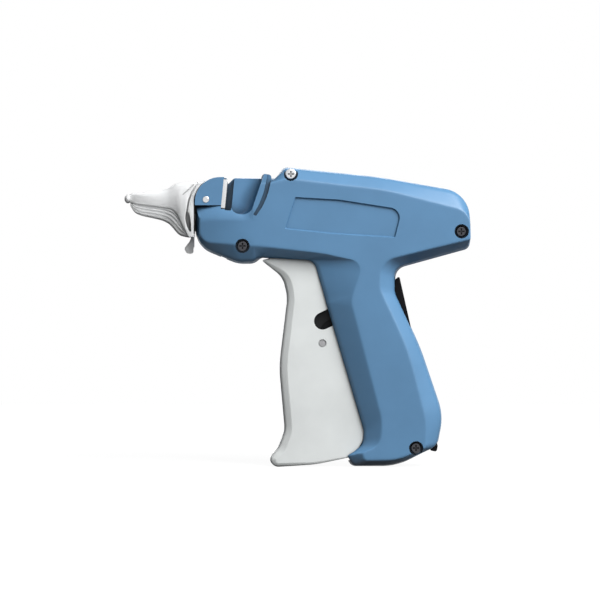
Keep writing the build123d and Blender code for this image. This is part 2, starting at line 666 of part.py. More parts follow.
def needle():
    """Hollow steel needle, slit along the left for the fastener's neck, with a slanted tip."""
    tube = axis_rod(NEEDLE_R, -NEEDLE_REACH, CHANNEL_FRONT - NEEDLE_SEAT)
    tube -= axis_rod(NEEDLE_BORE_R, -NEEDLE_REACH - 1, CHANNEL_FRONT)
    slit = axis_box((-NEEDLE_REACH - 1, CHANNEL_FRONT), (-NEEDLE_SLOT / 2, NEEDLE_SLOT / 2), 0, 3)
    tip = Plane(origin=(on_axis(-NEEDLE_REACH)[0], 0, on_axis(-NEEDLE_REACH, -NEEDLE_R)[1]),
                x_dir=(0, 1, 0), z_dir=(-0.62, 0, 0.78))
    return tube - slit - extrude(tip * Rectangle(8, 12), 8)


def lock_stem(radius, low, high):
    """A round bar along Z at the needle lock."""
    return extrude(Plane((LOCK_AT, 0, low)) * Circle(radius), high - low)


def needle_lock():
    """Teardrop tab on a stem that turns to free the needle."""
    tab = slab(rounded(LOCK_TAB), -1.0, 1.0)
    tab = fillet(tab.edges().filter_by(Plane.XZ), 0.5)
    return tab + lock_stem(LOCK_STEM_R, 107.0, LOCK_TOP)


def cap_plane(share):
    """The plane across the gun at a share of the cap's length, and the needle's height there."""
    x = AXIS_FRONT[0] - CAP_LENGTH * share
    along = (x - AXIS_FRONT[0]) / cos(radians(AXIS_TILT))
    return Plane.YZ.offset(x), on_axis(along)[1]


def arch(share, top, hem, half, wall=0.0):
    """An arched face standing on its hem."""
    plane, axis = cap_plane(share)
    base = axis + hem + wall
    arc = EllipticalCenterArc((0, base), half - wall, axis + top - wall - base, arc_size=180)
    return plane * make_face([arc, Line(arc @ 1, arc @ 0)])


def keel_section(share, low, half):
    """A hanging face with rib crests and valleys from side to side."""
    plane, axis = cap_plane(share)
    hem = KEEL_LAP + cap_hem(share)
    count = 4 * KEEL_RIBS
    points = []
    for i in range(count + 1):
        size = 1 - (KEEL_RIB_DEPTH if i % 2 else 0)
        a = pi * i / count
        points.append((-half * size * cos(a), axis + hem + (low - hem) * size * sin(a)))
    return plane * make_face(Polyline(*points, close=True))


def cap_hem(share):
    """Height of the cap's hem above the needle's line."""
    for (near, _, high, _), (far, _, low, _) in zip(CAP_BODY, CAP_BODY[1:]):
        if share >= far:
            return low + (high - low) * (share - far) / (near - far)
    return CAP_BODY[-1][2]


def needle_cap():
    """Removable cover over the needle: arched loft with a ball tip and a ribbed keel."""
    skin = loft([arch(*section) for section in CAP_BODY])
    skin += loft([keel_section(*section) for section in CAP_KEEL], ruled=True)
    skin += Pos(AXIS_FRONT[0] - CAP_LENGTH - 0.25, 0, cap_plane(1)[1]) * Sphere(CAP_BALL_R)
    skin -= loft([arch(*section, wall=CAP_WALL) for section in CAP_BODY[CAP_HOLLOW_FROM:]])
    skin -= axis_rod(CAP_BORE_R, -NEEDLE_REACH - 1.5, 12)
    nose = [s[1] for s in CASING]
    corner = inset_corners(nose, -CAP_GAP)[0]
    behind = rounded(((corner[0], 90, 0.5), corner, (10, corner[1], 0.5), (10, 90, 0.5)))
    skin -= slab(behind, -20, 20)
    notch = Pos(LOCK_AT, 0, 108) * Box(6, 2 * LOCK_STEM_R + 1.4, 12)
    return skin - notch


# ---------------------------------------------------------------- moving pieces
def trigger():
    """Channel-shaped trigger: finger wall in front, two cheeks, slots for the lever pin."""
    rings = [(rounded(trigger_corners(step)), TRIGGER_HALF + rise) for step, rise in FINGER_ROUND]
    half = slab(rings[0][0], 0, rings[0][1])
    for (low, near), (high, far) in zip(rings, rings[1:]):
        half += loft([Plane.XZ.offset(near) * low, Plane.XZ.offset(far) * high], ruled=True)
    body = both_sides(half)
    inner = TRIGGER_HALF - TRIGGER_WALL
    inside = [s[1:] for s in TRIGGER if s[0] not in HIDDEN_IN_TRIGGER]
    room = rounded(inset_corners(inside, TRIGGER_EDGE))
    for shift in (0, 6, 12):
        body -= slab(Pos(shift, 0) * room, -inner, inner)
    body -= disc(TRIGGER_PIVOT, PIVOT_PIN_R + RUNNING, -TRIGGER_HALF, TRIGGER_HALF)
    for drop in (6, 20):
        lever_side = (TRIGGER_PIVOT[0] + 12, TRIGGER_PIVOT[1] - drop)
        body -= bar(TRIGGER_PIVOT, lever_side, HUB_R + 1.2, -inner, inner)
    body -= disc(DRIVE_PIN, DRIVE_PIN_R + SEAT, -TRIGGER_HALF, TRIGGER_HALF)
    opening = [turned(LEVER_PIVOT, TRIGGER_PIVOT, -TRIGGER_SWING * (1.6 * t - 0.6))
               for t in travel()]
    body -= slab(path_slot(opening, TRIGGER_SLOT_R), -TRIGGER_HALF, TRIGGER_HALF)
    return body + feed_finger()


def trigger_corners(distance):
    """The trigger's outline moved in, most of all on the finger side."""
    corners = [s[1:] for s in TRIGGER]
    result = []
    for i, station in enumerate(TRIGGER):
        share = FINGER_SHARES.get(station[0], OTHER_SHARE)
        result.append(inset_corners(corners, distance * share)[i])
    return result


def feed_finger():
    """Arm of the trigger that reaches forward to the feed lever."""
    arm = bar(TRIGGER_PIVOT, FEED_PIN, FINGER_R, FINGER_NEAR, FINGER_FAR)
    arm += disc(TRIGGER_PIVOT, HUB_R, FINGER_NEAR, TRIGGER_HALF - TRIGGER_WALL)
    arm -= disc(TRIGGER_PIVOT, PIVOT_PIN_R + RUNNING, 0, TRIGGER_HALF)
    return arm - disc(FEED_PIN, FEED_PIN_R + SEAT, 0, TRIGGER_HALF)


def main_lever():
    """Two-armed lever: cam grooves for the drive studs below, slot for the slider pin above."""
    low_path, high_path = lever_path_of_drive_pin(), lever_path_of_slider_pin()
    lobe = make_hull([*(Pos(*LEVER_PIVOT) * Circle(LEVER_HUB_R)).edges(),
                      *(Pos(*DRIVE_PIN) * Circle(LEVER_ARM_R)).edges(),
                      *(Pos(*TRIGGER_SLOT_END) * Circle(LEVER_ARM_R)).edges()])
    far_end = max(high_path, key=lambda p: hypot(p[0] - LEVER_PIVOT[0], p[1] - LEVER_PIVOT[1]))
    lever = slab(lobe, -LEVER_HALF, LEVER_HALF)
    lever += bar(LEVER_PIVOT, far_end, LEVER_ARM_R, -LEVER_HALF, LEVER_HALF)
    hub_end = TRIGGER_HALF - TRIGGER_WALL - SIDE_PLAY
    lever += disc(LEVER_PIVOT, PIVOT_PIN_R + 1.4, -hub_end, hub_end)
    lever -= disc(LEVER_PIVOT, PIVOT_PIN_R + RUNNING, -hub_end, hub_end)
    lever -= both_sides(slab(path_slot(low_path, DRIVE_PIN_R + RUNNING), CAM_WEB, LEVER_HALF))
    middle = len(high_path) // 2
    for half_path in (high_path[:middle + 1], high_path[middle:]):
        lever -= slab(path_slot(half_path, SLIDER_PIN_R + RUNNING), -LEVER_HALF, LEVER_HALF)
    return lever


def slider():
    """Fork that carries the push rod, with shoes that run inside the casings."""
    front, rear = SLIDER_REST - SLIDER_FRONT, SLIDER_REST + SLIDER_REAR
    high = SLIDER_HALF_HEIGHT
    block = axis_box((front, rear), (-high, high), -SLIDER_HALF, SLIDER_HALF)
    block -= axis_box((front + SLIDER_NOSE, rear + 1), (-high - 1, high + 1),
                      -LEVER_HALF - SIDE_PLAY, LEVER_HALF + SIDE_PLAY)
    shoe = HALF_WIDTH - WALL - SIDE_PLAY
    block += both_sides(axis_box((front, rear), (-SHOE_HALF, SHOE_HALF), SLIDER_HALF, shoe))
    block -= disc(on_axis(SLIDER_REST), SLIDER_PIN_R + SEAT, -shoe, shoe)
    return block - axis_rod(ROD_R + SEAT, front - 1, front + SLIDER_NOSE)


def slider_pin():
    """Cross pin of the slider in the lever's upper slot."""
    return disc(on_axis(SLIDER_REST), SLIDER_PIN_R, -SLIDER_HALF, SLIDER_HALF)


def push_rod():
    """Steel rod that pushes one fastener through the needle."""
    return axis_rod(ROD_R, SLIDER_REST - SLIDER_FRONT - ROD_LENGTH,
                    SLIDER_REST - SLIDER_FRONT + SLIDER_NOSE)


def drive_pin():
    """Two studs in the trigger's cheeks that run in the lever's cam grooves."""
    stud = disc(DRIVE_PIN, DRIVE_PIN_R, CAM_WEB + SIDE_PLAY, TRIGGER_HALF - 0.2)
    return both_sides(stud)


def pivot_pin(centre):
    """Fixed pin between the casings."""
    end = HALF_WIDTH - WALL - 0.2
    return disc(centre, PIVOT_PIN_R, -end, end)


def trigger_pin():
    """Pin that the trigger turns on."""
    return pivot_pin(TRIGGER_PIVOT)


def lever_pin():
    """Pin that the main lever turns on."""
    return pivot_pin(LEVER_PIVOT)


def feed_wheel():
    """Toothed wheel that advances the strip of fasteners."""
    points = []
    for i in range(2 * FEED_TEETH):
        r = FEED_WHEEL_R - (FEED_TOOTH if i % 2 else 0)
        a = FEED_PHASE + i * pi / FEED_TEETH
        points.append((FEED_CENTRE[0] + r * cos(a), FEED_CENTRE[1] + r * sin(a)))
    wheel = slab(make_face(Polyline(*points, close=True)), -FEED_HALF, FEED_HALF)
    return wheel - disc(FEED_CENTRE, FEED_SHAFT_R + RUNNING, -FEED_HALF, FEED_HALF)


def feed_lever():
    """Lever that the trigger's finger moves, with the pawl nib between two teeth."""
    far = FEED_NEAR + FEED_LEVER
    lever = bar(FEED_CENTRE, FEED_PIN, FINGER_R, FEED_NEAR, far)
    lever += disc(FEED_CENTRE, FEED_HUB_R, FEED_NEAR, far)
    lever -= disc(FEED_CENTRE, FEED_SHAFT_R + RUNNING, FEED_NEAR, far)
    lever -= slab(path_slot(feed_path_of_pin(), FEED_PIN_R + RUNNING), FEED_NEAR, far)
    share = (FEED_WHEEL_R - 0.2) / FEED_ARM
    nib = (FEED_CENTRE[0] + (FEED_PIN[0] - FEED_CENTRE[0]) * share,
           FEED_CENTRE[1] + (FEED_PIN[1] - FEED_CENTRE[1]) * share)
    return lever + disc(nib, PAWL_R, FEED_HALF - 1.0, FEED_NEAR)


def feed_shaft():
    """Fixed shaft of the feed wheel and the feed lever."""
    end = HALF_WIDTH - WALL - 2.2
    return disc(FEED_CENTRE, FEED_SHAFT_R, -end, end)


def feed_pin():
    """Small pin of the trigger's finger in the feed lever's slot."""
    return disc(FEED_PIN, FEED_PIN_R, FEED_NEAR, FINGER_FAR)


def slider_bumper():
    """Rubber stop behind the slider."""
    start = SLIDER_REST + SLIDER_REAR + 0.1
    return axis_box((start, start + 4), (-5, 5), -SLIDER_HALF, SLIDER_HALF)


def return_spring():
    """Coil of the torsion spring round the trigger pin."""
    length = SPRING_TURNS * SPRING_PITCH
    x, z = TRIGGER_PIVOT
    coil = Helix(SPRING_PITCH, length, SPRING_R, center=(x, -SPRING_NEAR, z), direction=(0, -1, 0))
    start = coil @ 0
    wire = sweep(Plane(origin=start, z_dir=coil % 0) * Circle(SPRING_WIRE_R), path=coil)
    return wire


PIECES = {
    "left_casing": left_casing,
    "right_casing": right_casing,
    "casing_screws": casing_screws,
    "nose_block": nose_block,
    "nose_pin": nose_pin,
    "cutter_plate": cutter_plate,
    "needle_hub": needle_hub,
    "needle": needle,
    "needle_lock": needle_lock,
    "needle_cap": needle_cap,
    "back_strap": back_strap,
    "trigger_pin": trigger_pin,
    "lever_pin": lever_pin,
    "feed_shaft": feed_shaft,
    "slider_bumper": slider_bumper,
    "return_spring": return_spring,
    "trigger": trigger,
    "drive_pin": drive_pin,
    "feed_pin": feed_pin,
    "main_lever": main_lever,
    "slider": slider,
    "slider_pin": slider_pin,
    "push_rod": push_rod,
    "feed_wheel": feed_wheel,
    "feed_lever": feed_lever,
}


def write_all():
    """One STEP file for each piece."""
    os.makedirs("parts", exist_ok=True)
    for name, make in PIECES.items():
        shape = make()
        solids = shape if isinstance(shape, list) else shape.solids()
        part = Compound(children=list(solids)) if len(solids) > 1 else solids[0]
        part.label = name
        export_step(part, f"parts/{name}.step")
        print(name, len(solids), round(sum(s.volume for s in solids)))


write_all()
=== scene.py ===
"""Looks of the garment tag attacher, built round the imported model.

Sizes below are in millimetres, in the gun's own frame: X runs from the needle tip (-X) to the back
(+X), Z is up, Y is the thickness with the parting plane at Y = 0. The meshes are made in metres.
"""
import math

import bmesh
import bpy
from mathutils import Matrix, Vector, geometry


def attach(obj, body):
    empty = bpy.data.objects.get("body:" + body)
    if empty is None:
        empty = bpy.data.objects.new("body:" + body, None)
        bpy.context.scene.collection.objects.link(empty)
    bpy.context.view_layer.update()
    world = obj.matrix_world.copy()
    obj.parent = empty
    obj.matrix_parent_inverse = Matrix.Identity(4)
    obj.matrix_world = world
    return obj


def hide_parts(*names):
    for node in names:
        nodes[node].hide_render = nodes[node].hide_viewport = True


MM = 0.001

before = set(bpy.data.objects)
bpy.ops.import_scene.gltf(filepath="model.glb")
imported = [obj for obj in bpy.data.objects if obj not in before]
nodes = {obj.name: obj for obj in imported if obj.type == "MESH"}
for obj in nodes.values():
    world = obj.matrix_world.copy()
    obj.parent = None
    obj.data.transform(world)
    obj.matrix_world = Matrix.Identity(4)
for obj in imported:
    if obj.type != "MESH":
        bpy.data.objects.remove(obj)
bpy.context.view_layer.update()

# ---------------------------------------------------------------- driving sizes
HALF_WIDTH = 13.5        # parting plane to the flat side panel
SHOULDER = 8.8           # parting plane to where the bevel starts
REAR_SHOULDER = 4.6      # the same under the rear overhang, where the bevel is steep
DRAFT = 1.1              # how far the side walls lean in up to there
MOUTH_DRAFT = 0.05       # share of that beside the trigger's mouth
MOUTH_SPAN = ((-18.5, 33.0), (8.0, 104.0))   # X and Z over which that holds
OVERHANG_X = 46.0        # the bevel steepens under the rear overhang: from this X
OVERHANG_RUN = 12.0      # over this length
OVERHANG_Z = 113.0       # and from this height down
OVERHANG_DROP = 7.0      # over this drop
OVERHANG_FLOOR = 90.0    # but not below this height
WALL = 2.2               # moulded wall
SHOULDER_R = 4.0         # rounding of the shoulder edge
CREASE_R = 5.0           # rounding of the crease round the panel
CREASE_REACH = 1.6       # flat strip kept inside the crease
NOSE_HALF = 8.1          # half thickness at the nose face
TAPER_START = -17.0      # X where the nose starts to turn in
NOSE_FACE = -48.7

AXIS_FRONT = (-48.7, 125.3)
AXIS_TILT = math.radians(5.5)

# name, outline (x, z, radius), panel (x, z, radius)
CASING = (
    ("nose_top", (-48.7, 138.3, 12.0), (-46.6, 135.8, 9.0)),
    ("rim_valley", (-10.2, 138.0, 2.0), (-12.0, 135.6, 3.0)),
    ("boss_top", (-6.4, 143.4, 3.4), (-4.5, 137.4, 8.0)),
    ("top", (38.5, 138.8, 200.0), (43.0, 131.8, 110.0)),
    ("rear_top", (81.9, 131.2, 13.0), (82.2, 121.6, 8.5)),
    ("rear_under", (83.0, 104.5, 3.4), (82.5, 108.4, 1.4)),
    ("neck_top", (47.2, 94.6, 6.0), (39.6, 98.0, 9.0)),
    ("neck", (47.2, 82.9, 10.0), (39.6, 84.6, 9.0)),
    ("back", (59.2, 57.0, 120.0), (52.8, 56.0, 100.0)),
    ("heel_back", (70.2, 24.5, 26.0), (61.6, 22.0, 60.0)),
    ("heel_low", (67.4, 10.0, 6.0), (61.1, 9.4, 3.4)),
    ("heel", (47.8, 0.0, 30.0), (47.5, 3.5, 26.0)),
    ("toe_low", (26.2, 0.0, 3.6), (32.3, 3.4, 2.0)),
    ("toe_tip", (22.8, 5.2, 0.8), (30.9, 7.0, 0.8)),
    ("toe_cup", (31.2, 10.4, 6.0), (39.6, 10.6, 7.0)),
    ("handle_low", (31.4, 17.6, 9.0), (40.5, 22.6, 24.0)),
    ("handle_up", (13.4, 78.3, 40.0), (25.6, 79.5, 12.0)),
    ("handle_top", (7.2, 98.9, 11.0), (31.8, 97.6, 5.4)),
    ("trigger_roof", (-1.0, 98.9, 30.0), (12.0, 101.9, 60.0)),
    ("mouth_edge", (-17.0, 99.9, 1.2), (-12.5, 104.6, 30.0)),
    ("mouth_front", (-20.6, 97.1, 6.0), (-20.5, 105.3, 20.0)),
    ("chin_low", (-28.5, 97.0, 16.0), (-30.5, 106.1, 24.0)),
    ("chin", (-48.7, 105.4, 12.0), (-46.6, 107.2, 6.0)),
)

LABEL = ((-1.0, 128.6, 0.6), (20.6, 127.3, 40.0), (50.0, 122.7, 5.0), (46.6, 109.2, 0.6),
         (16.0, 111.1, 40.0), (-5.8, 113.4, 0.6))
LABEL_DEPTH = 0.8        # recess in the side panel
LABEL_SLOPE = 0.6        # how far its walls lean out

SCREWS = ((-2.9, 139.6), (-25.9, 105.4), (78.2, 112.3), (56.6, 9.3))
COUNTERBORE_R = 3.4
SCREW_SINK = 4.3         # counterbore floor below the panel
SCREW_R = 1.42
SCREW_REACH = 10.4       # just past the screws' ends; the first still breaks out at the far bevel
BOSS_R = 4.65

HIDDEN_IN_CAVITY = ("rim_valley", "toe_tip", "toe_cup", "trigger_roof", "mouth_edge", "mouth_front")
NOSE_REAR = -7.0         # the nose is solid in front of this
TRIGGER_PIVOT = (-3.0, 106.5)
TRIGGER_HALF = 7.5       # half thickness of the trigger
LEVER_PIVOT = (23.4, 76.6)
HUB_R = 4.4
PIN_R = 2.02
MOUTH = ((-17.6, 90, 0.4), (-17.6, 104.5, 2), (-9, 111.5, 2), (6, 111.5, 3), (24, 99, 6),
         (34, 60, 20), (40, 22, 8), (31.5, 2.6, 2), (10, 2.6, 0.4))
STRAP = ((49.0, 91.2, 0.6), (67.4, 9.8, 1.0), (66.9, 7.0, 1.0), (63.9, 7.6, 1.0),
         (46.0, 88.4, 1.0))
CHANNEL = (14.45, 17.35)   # fastener channel, along the needle's line
HUB_HEIGHT = (-4.2, 3.0)
HUB_HALF = 3.2
FEED_CENTRE = (-26.165, 115.194)
FEED_WHEEL_R = 6.6
FEED_SHAFT_R = 1.32
LANE = (29.0, 101.0)
LANE_HALF = 7.05
TRIGGER_SWING = 19.0
SWEEP_STEPS = 3
SIDE_PLAY = 0.3          # room beside the trigger
SWEEP_PLAY = 0.4         # room round the trigger while it swings
SWEEP_SIDE = 0.34        # room beside it then
SWEEP_STEP = 0.01        # keeps the walls of the sweep's cuts apart
FEED_PIN = (-15.56, 111.21)
FEED_PIN_BORE_R = 1.02
FINGER_NEAR = 4.4
FINGER_FAR = 6.2
FINGER_R = 2.6
FINGER_PLAY = 0.6
FEED_HUB_R = 3.7         # room for the feed lever's hub
FEED_NEAR = 1.8
DRIVE_PIN = (12.1, 59.0)
PIN_RING_R = 1.95        # ring sunk round the drive pin's end
PIN_RING_DEPTH = 0.45
PIVOT_BORE_R = 2.05
DRIVE_BORE_R = 1.55
SLOT_R = 4.1

SCOOP = ((-31.0, 150, 0.5), (-31.5, 121.4, 4.0), (-22.4, 119.6, 5.0), (-15.8, 139.0, 3.0),
         (-15.0, 150, 0.5))
SCOOP_REAR = (2, 3, 4)
SCOOP_WALL = 3.0         # parting plane to the scoop's floor
SCOOP_ROUND = 7.5        # curve from the scoop's floor up to its rear wall
SCOOP_STEPS = 12
GROOVE = ((-11.8, 150, 0.5), (-12.0, 137.6, 8.0), (-13.9, 129.6, 20.0), (-16.4, 123.9, 20.0),
          (-19.4, 119.6, 0.5), (-20.9, 120.2, 0.5), (-18.2, 124.6, 20.0), (-15.9, 130.4, 20.0),
          (-14.2, 137.8, 8.0), (-13.6, 150, 0.5))
GROOVE_DEPTH = 2.0
LIP = ((-18.3, 133.0, 0.5), (-16.6, 139.6, 1.4), (-12.2, 139.3, 1.4), (-12.2, 133.0, 0.5))
NOTCH = ((-34.3, 141), (-33.4, 135.7), (-32.8, 135.7), (-27.5, 141))   # behind the cutter plate
NOSE_SEAT = 124.4        # floor of the corner that holds the nose block
LEDGE_LOW = 118.7
LEDGE_HIGH = 124.4
LEDGE_DEPTH = 3.4
LEDGE_REAR = -20.5
LEDGE_FADE = 5.0         # length over which its rear end runs out
LEDGE_LIFT = 0.3         # how far out of the panel the cut has moved at that end
LEDGE_LEAST = 0.02       # least depth, so that the cut's section never closes up
LEDGE_STEPS = 32
LEDGE_AHEAD = 4          # how far the cut starts in front of the nose face

# Corners of the trigger's side outline: name, x, z, radius.
TRIGGER = (
    ("tip", -16.9, 98.6, 0.5),
    ("finger_top", -6.9, 90.6, 11.0),
    ("finger_high", -4.6, 81.2, 20.0),
    ("finger_middle", -8.6, 48.0, 60.0),
    ("finger_low", -5.9, 17.5, 12.0),
    ("toe_neck", -9.0, 9.0, 14.0),
    ("toe_front", -13.5, 3.4, 2.4),
    ("toe_bottom", -10.6, -0.1, 4.0),
    ("bottom", 9.0, 1.2, 60.0),
    ("bottom_rear", 27.0, 5.0, 6.0),
    ("rear_low", 33.2, 15.5, 6.0),
    ("rear", 23.0, 60.0, 30.0),
    ("rear_high", 17.0, 84.0, 20.0),
    ("shoulder", 8.5, 101.0, 6.0),
    ("hub_rear", 1.4, 111.0, 4.3),
    ("hub_front", -7.4, 111.0, 4.3),
    ("hub_under", -8.6, 101.0, 2.0),
)
HIDDEN_IN_TRIGGER = ("tip", "toe_front", "hub_under", "hub_rear", "shoulder")
FINGER_ROUND = 4.4       # width of the bevel on the finger side
FINGER_SLOPE = 0.3       # depth of that bevel over its width
FINGER_EDGE = 0.5        # rounding of its outer edge, where it ends and the rounding of its
FINGER_REACH = 0.85      # inner edge, all as shares of its width
FINGER_CREASE = 0.45
FINGER_SHARES = {"finger_top": 1.0, "finger_high": 1.0, "finger_middle": 1.0, "finger_low": 1.0,
                 "toe_neck": 1.0, "toe_front": 0.7, "toe_bottom": 0.5, "bottom": 0.3}
OTHER_SHARE = 0.15       # share of the bevel at the corners not named above

ARCH_STEPS = 80
KEEL_POWER = 8.0         # the keel's sides stand nearly upright
CAP_RIBS = 17
CAP_WINDOW = ((-52.9, 121.7), (-53.3, 118.4), (-52.6, 115.0), (-51.2, 112.2), (-50.4, 112.2),
              (-50.5, 116.0), (-50.9, 119.0), (-51.6, 121.7))
CAP_GROOVES = (
    (((-46.4, 138.0), (-48.6, 134.6), (-50.6, 131.2), (-52.1, 127.0), (-52.9, 121.5),
      (-52.2, 121.0), (-51.3, 126.8), (-49.9, 130.9), (-47.9, 134.3), (-45.8, 137.6)), 0.9),
    (((-49.6, 135.2), (-51.6, 133.0), (-54.6, 130.3), (-54.9, 130.0), (-54.4, 129.9),
      (-51.2, 132.6), (-49.2, 134.8)), 0.5),
)
CAP_WALL = 1.5
CAP_GAP = 0.6
CAP_HEM_LIFT = 0.5       # keel's top above the hem
LOCK_AT = -50.1
LOCK_STEM_R = 0.88
LOCK_TOP = 114.0
LOCK_LOW = 105.0
LOCK_TAB = ((-49.65, 109.9, 0.3), (-50.6, 109.9, 0.3), (-51.6, 107.6, 2.0), (-54.3, 104.2, 1.7),
            (-52.6, 101.8, 1.6), (-49.65, 102.0, 1.4))

ARC_STEPS = 8
PROFILE_STEPS = 5
RUN_PITCH = 3.0          # spacing of points on the straight runs
PANEL_PITCH = 4.0        # spacing of points inside the panel
SLIVER_SIDES = 5         # largest gap in a mesh that is closed


# ---------------------------------------------------------------- outlines
def corner_arcs(corners, steps=ARC_STEPS, closed=True):
    """For each (x, z, radius) corner of an outline, the points of its tangent arc."""
    arcs = []
    count = len(corners)
    for i, (x, z, radius) in enumerate(corners):
        here = Vector((x, z))
        if not closed and i in (0, count - 1):
            arcs.append([here])
            continue
        before = Vector(corners[i - 1][:2])
        after = Vector(corners[(i + 1) % count][:2])
        back, ahead = before - here, after - here
        half = back.angle(ahead) / 2
        reach = min(radius / math.tan(half), 0.49 * min(back.length, ahead.length))
        if reach < 1e-4 or half > math.pi / 2 - 1e-4:
            arcs.append([here] * (steps + 1))
            continue
        back.normalize()
        ahead.normalize()
        size = reach * math.tan(half)
        centre = here + (back + ahead).normalized() * (size / math.sin(half))
        start = here + back * reach - centre
        end = here + ahead * reach - centre
        sweep = math.atan2(start.x * end.y - start.y * end.x, start.dot(end))
        points = []
        for k in range(steps + 1):
            c, s = math.cos(sweep * k / steps), math.sin(sweep * k / steps)
            points.append(centre + Vector((start.x * c - start.y * s, start.x * s + start.y * c)))
        arcs.append(points)
    return arcs


def outline(corners, steps=ARC_STEPS):
    """The points of a closed outline, arcs only."""
    return [p for arc in corner_arcs(corners, steps) for p in arc]


def matched_rings(*outlines):
    """Outlines whose points answer each other, as one tuple of points for each place."""
    families = [corner_arcs(corners) for corners in outlines]
    places = []
    for i in range(len(outlines[0])):
        places += list(zip(*(arcs[i] for arcs in families)))
        ends = [(arcs[i][-1], arcs[(i + 1) % len(arcs)][0]) for arcs in families]
        steps = max(1, round((ends[0][1] - ends[0][0]).length / RUN_PITCH))
        for k in range(1, steps):
            places.append(tuple(a.lerp(b, k / steps) for a, b in ends))
    return places


def inset(corners, distance):
    """The corners moved into the outline, with radii to suit."""
    area = sum(corners[i - 1][0] * z - x * corners[i - 1][1] for i, (x, z, r) in enumerate(corners))
    side = 1 if area < 0 else -1
    result = []
    for i, (x, z, r) in enumerate(corners):
        px, pz = corners[i - 1][:2]
        qx, qz = corners[(i + 1) % len(corners)][:2]
        a = math.atan2(z - pz, x - px)
        b = math.atan2(qz - z, qx - x)
        turn = (b - a + math.pi) % (2 * math.pi) - math.pi
        middle = a + turn / 2 - side * math.pi / 2
        reach = distance / math.cos(turn / 2)
        radius = r - distance if turn * side < 0 else r + distance
        result.append((x + reach * math.cos(middle), z + reach * math.sin(middle),
                       max(radius, 0.3)))
    return result


def on_axis(along, across=0.0):
    """X-Z point at a distance behind the nose face and a height above the needle's line."""
    c, s = math.cos(AXIS_TILT), math.sin(AXIS_TILT)
    return (AXIS_FRONT[0] + along * c + across * s, AXIS_FRONT[1] - along * s + across * c)


# ---------------------------------------------------------------- mesh helpers
def make_object(name, bm):
    """A new object from a bmesh in millimetres."""
    bmesh.ops.remove_doubles(bm, verts=bm.verts, dist=0.0005)
    bmesh.ops.recalc_face_normals(bm, faces=bm.faces)
    bmesh.ops.scale(bm, vec=(MM, MM, MM), verts=bm.verts)
    mesh = bpy.data.meshes.new(name)
    bm.to_mesh(mesh)
    bm.free()
    obj = bpy.data.objects.new(name, mesh)
    bpy.context.scene.collection.objects.link(obj)
    return obj


def prism(points, near, far):
    """A solid of an X-Z outline from Y = -near to Y = -far."""
    bm = bmesh.new()
    front = [bm.verts.new((p[0], -near, p[1])) for p in points]
    back = [bm.verts.new((p[0], -far, p[1])) for p in points]
    for i in range(len(points)):
        bm.faces.new((front[i - 1], front[i], back[i], back[i - 1]))
    bm.faces.new(front)
    bm.faces.new(back[::-1])
    return make_object("cutter", bm)


def disc(centre, radius, near, far, steps=40):
    """A round bar along Y."""
    turns = [2 * math.pi * i / steps for i in range(steps)]
    points = [(centre[0] + radius * math.cos(a), centre[1] + radius * math.sin(a)) for a in turns]
    return prism(points, near, far)


def axis_box(along, across, near, far):
    """A block square to the needle's line."""
    points = [on_axis(along[0], across[0]), on_axis(along[1], across[0]),
              on_axis(along[1], across[1]), on_axis(along[0], across[1])]
    return prism(points, near, far)


def combine(obj, others, operation):
    """Cut the other solids out of an object, or join them to it, and drop them."""
    group = bpy.data.collections.new("operands")
    for other in others:
        group.objects.link(other)
    modifier = obj.modifiers.new("combine", "BOOLEAN")
    modifier.solver = "EXACT"
    modifier.operation = operation
    modifier.operand_type = "COLLECTION"
    modifier.collection = group
    graph = bpy.context.evaluated_depsgraph_get()
    mesh = bpy.data.meshes.new_from_object(obj.evaluated_get(graph))
    obj.modifiers.clear()
    obj.data = mesh
    for other in others:
        bpy.data.objects.remove(other)
    bpy.data.collections.remove(group)


def mend(obj):
    """Close the slivers that a boolean leaves open."""
    bm = bmesh.new()
    bm.from_mesh(obj.data)
    open_edges = [e for e in bm.edges if len(e.link_faces) == 1]
    bmesh.ops.holes_fill(bm, edges=open_edges, sides=SLIVER_SIDES)
    bm.to_mesh(obj.data)
    bm.free()


def soften(obj, width, angle=32, segments=3):
    """Small rounding on the sharp edges, smooth shading elsewhere."""
    obj.data.shade_smooth()
    obj.data.set_sharp_from_angle(angle=math.radians(angle))
    bevel = obj.modifiers.new("edges", "BEVEL")
    bevel.width = width * MM
    bevel.segments = segments
    bevel.limit_method = "ANGLE"
    bevel.angle_limit = math.radians(angle)
    bevel.harden_normals = True
    bevel.use_clamp_overlap = True


# ---------------------------------------------------------------- casings
def half_width(x):
    """Parting plane to the side panel, along the gun: the nose curves in towards its face."""
    share = max(0.0, (TAPER_START - x) / (TAPER_START - NOSE_FACE))
    return HALF_WIDTH - (HALF_WIDTH - NOSE_HALF) * share ** 2


def beside_trigger(place):
    """Whether a point of the outline lies along the trigger's mouth."""
    (left, right), (low, high) = MOUTH_SPAN
    return left < place.x < right and low < place.y < high


def shoulder(place):
    """Depth of the shoulder: less below the rear overhang."""
    back = min(1.0, max(0.0, (place.x - OVERHANG_X) / OVERHANG_RUN))
    under = min(1.0, max(0.0, (OVERHANG_Z - place.y) / OVERHANG_DROP))
    share = back * under * (1.0 if place.y > OVERHANG_FLOOR else 0.0)
    return SHOULDER + (REAR_SHOULDER - SHOULDER) * share * share * (3 - 2 * share)


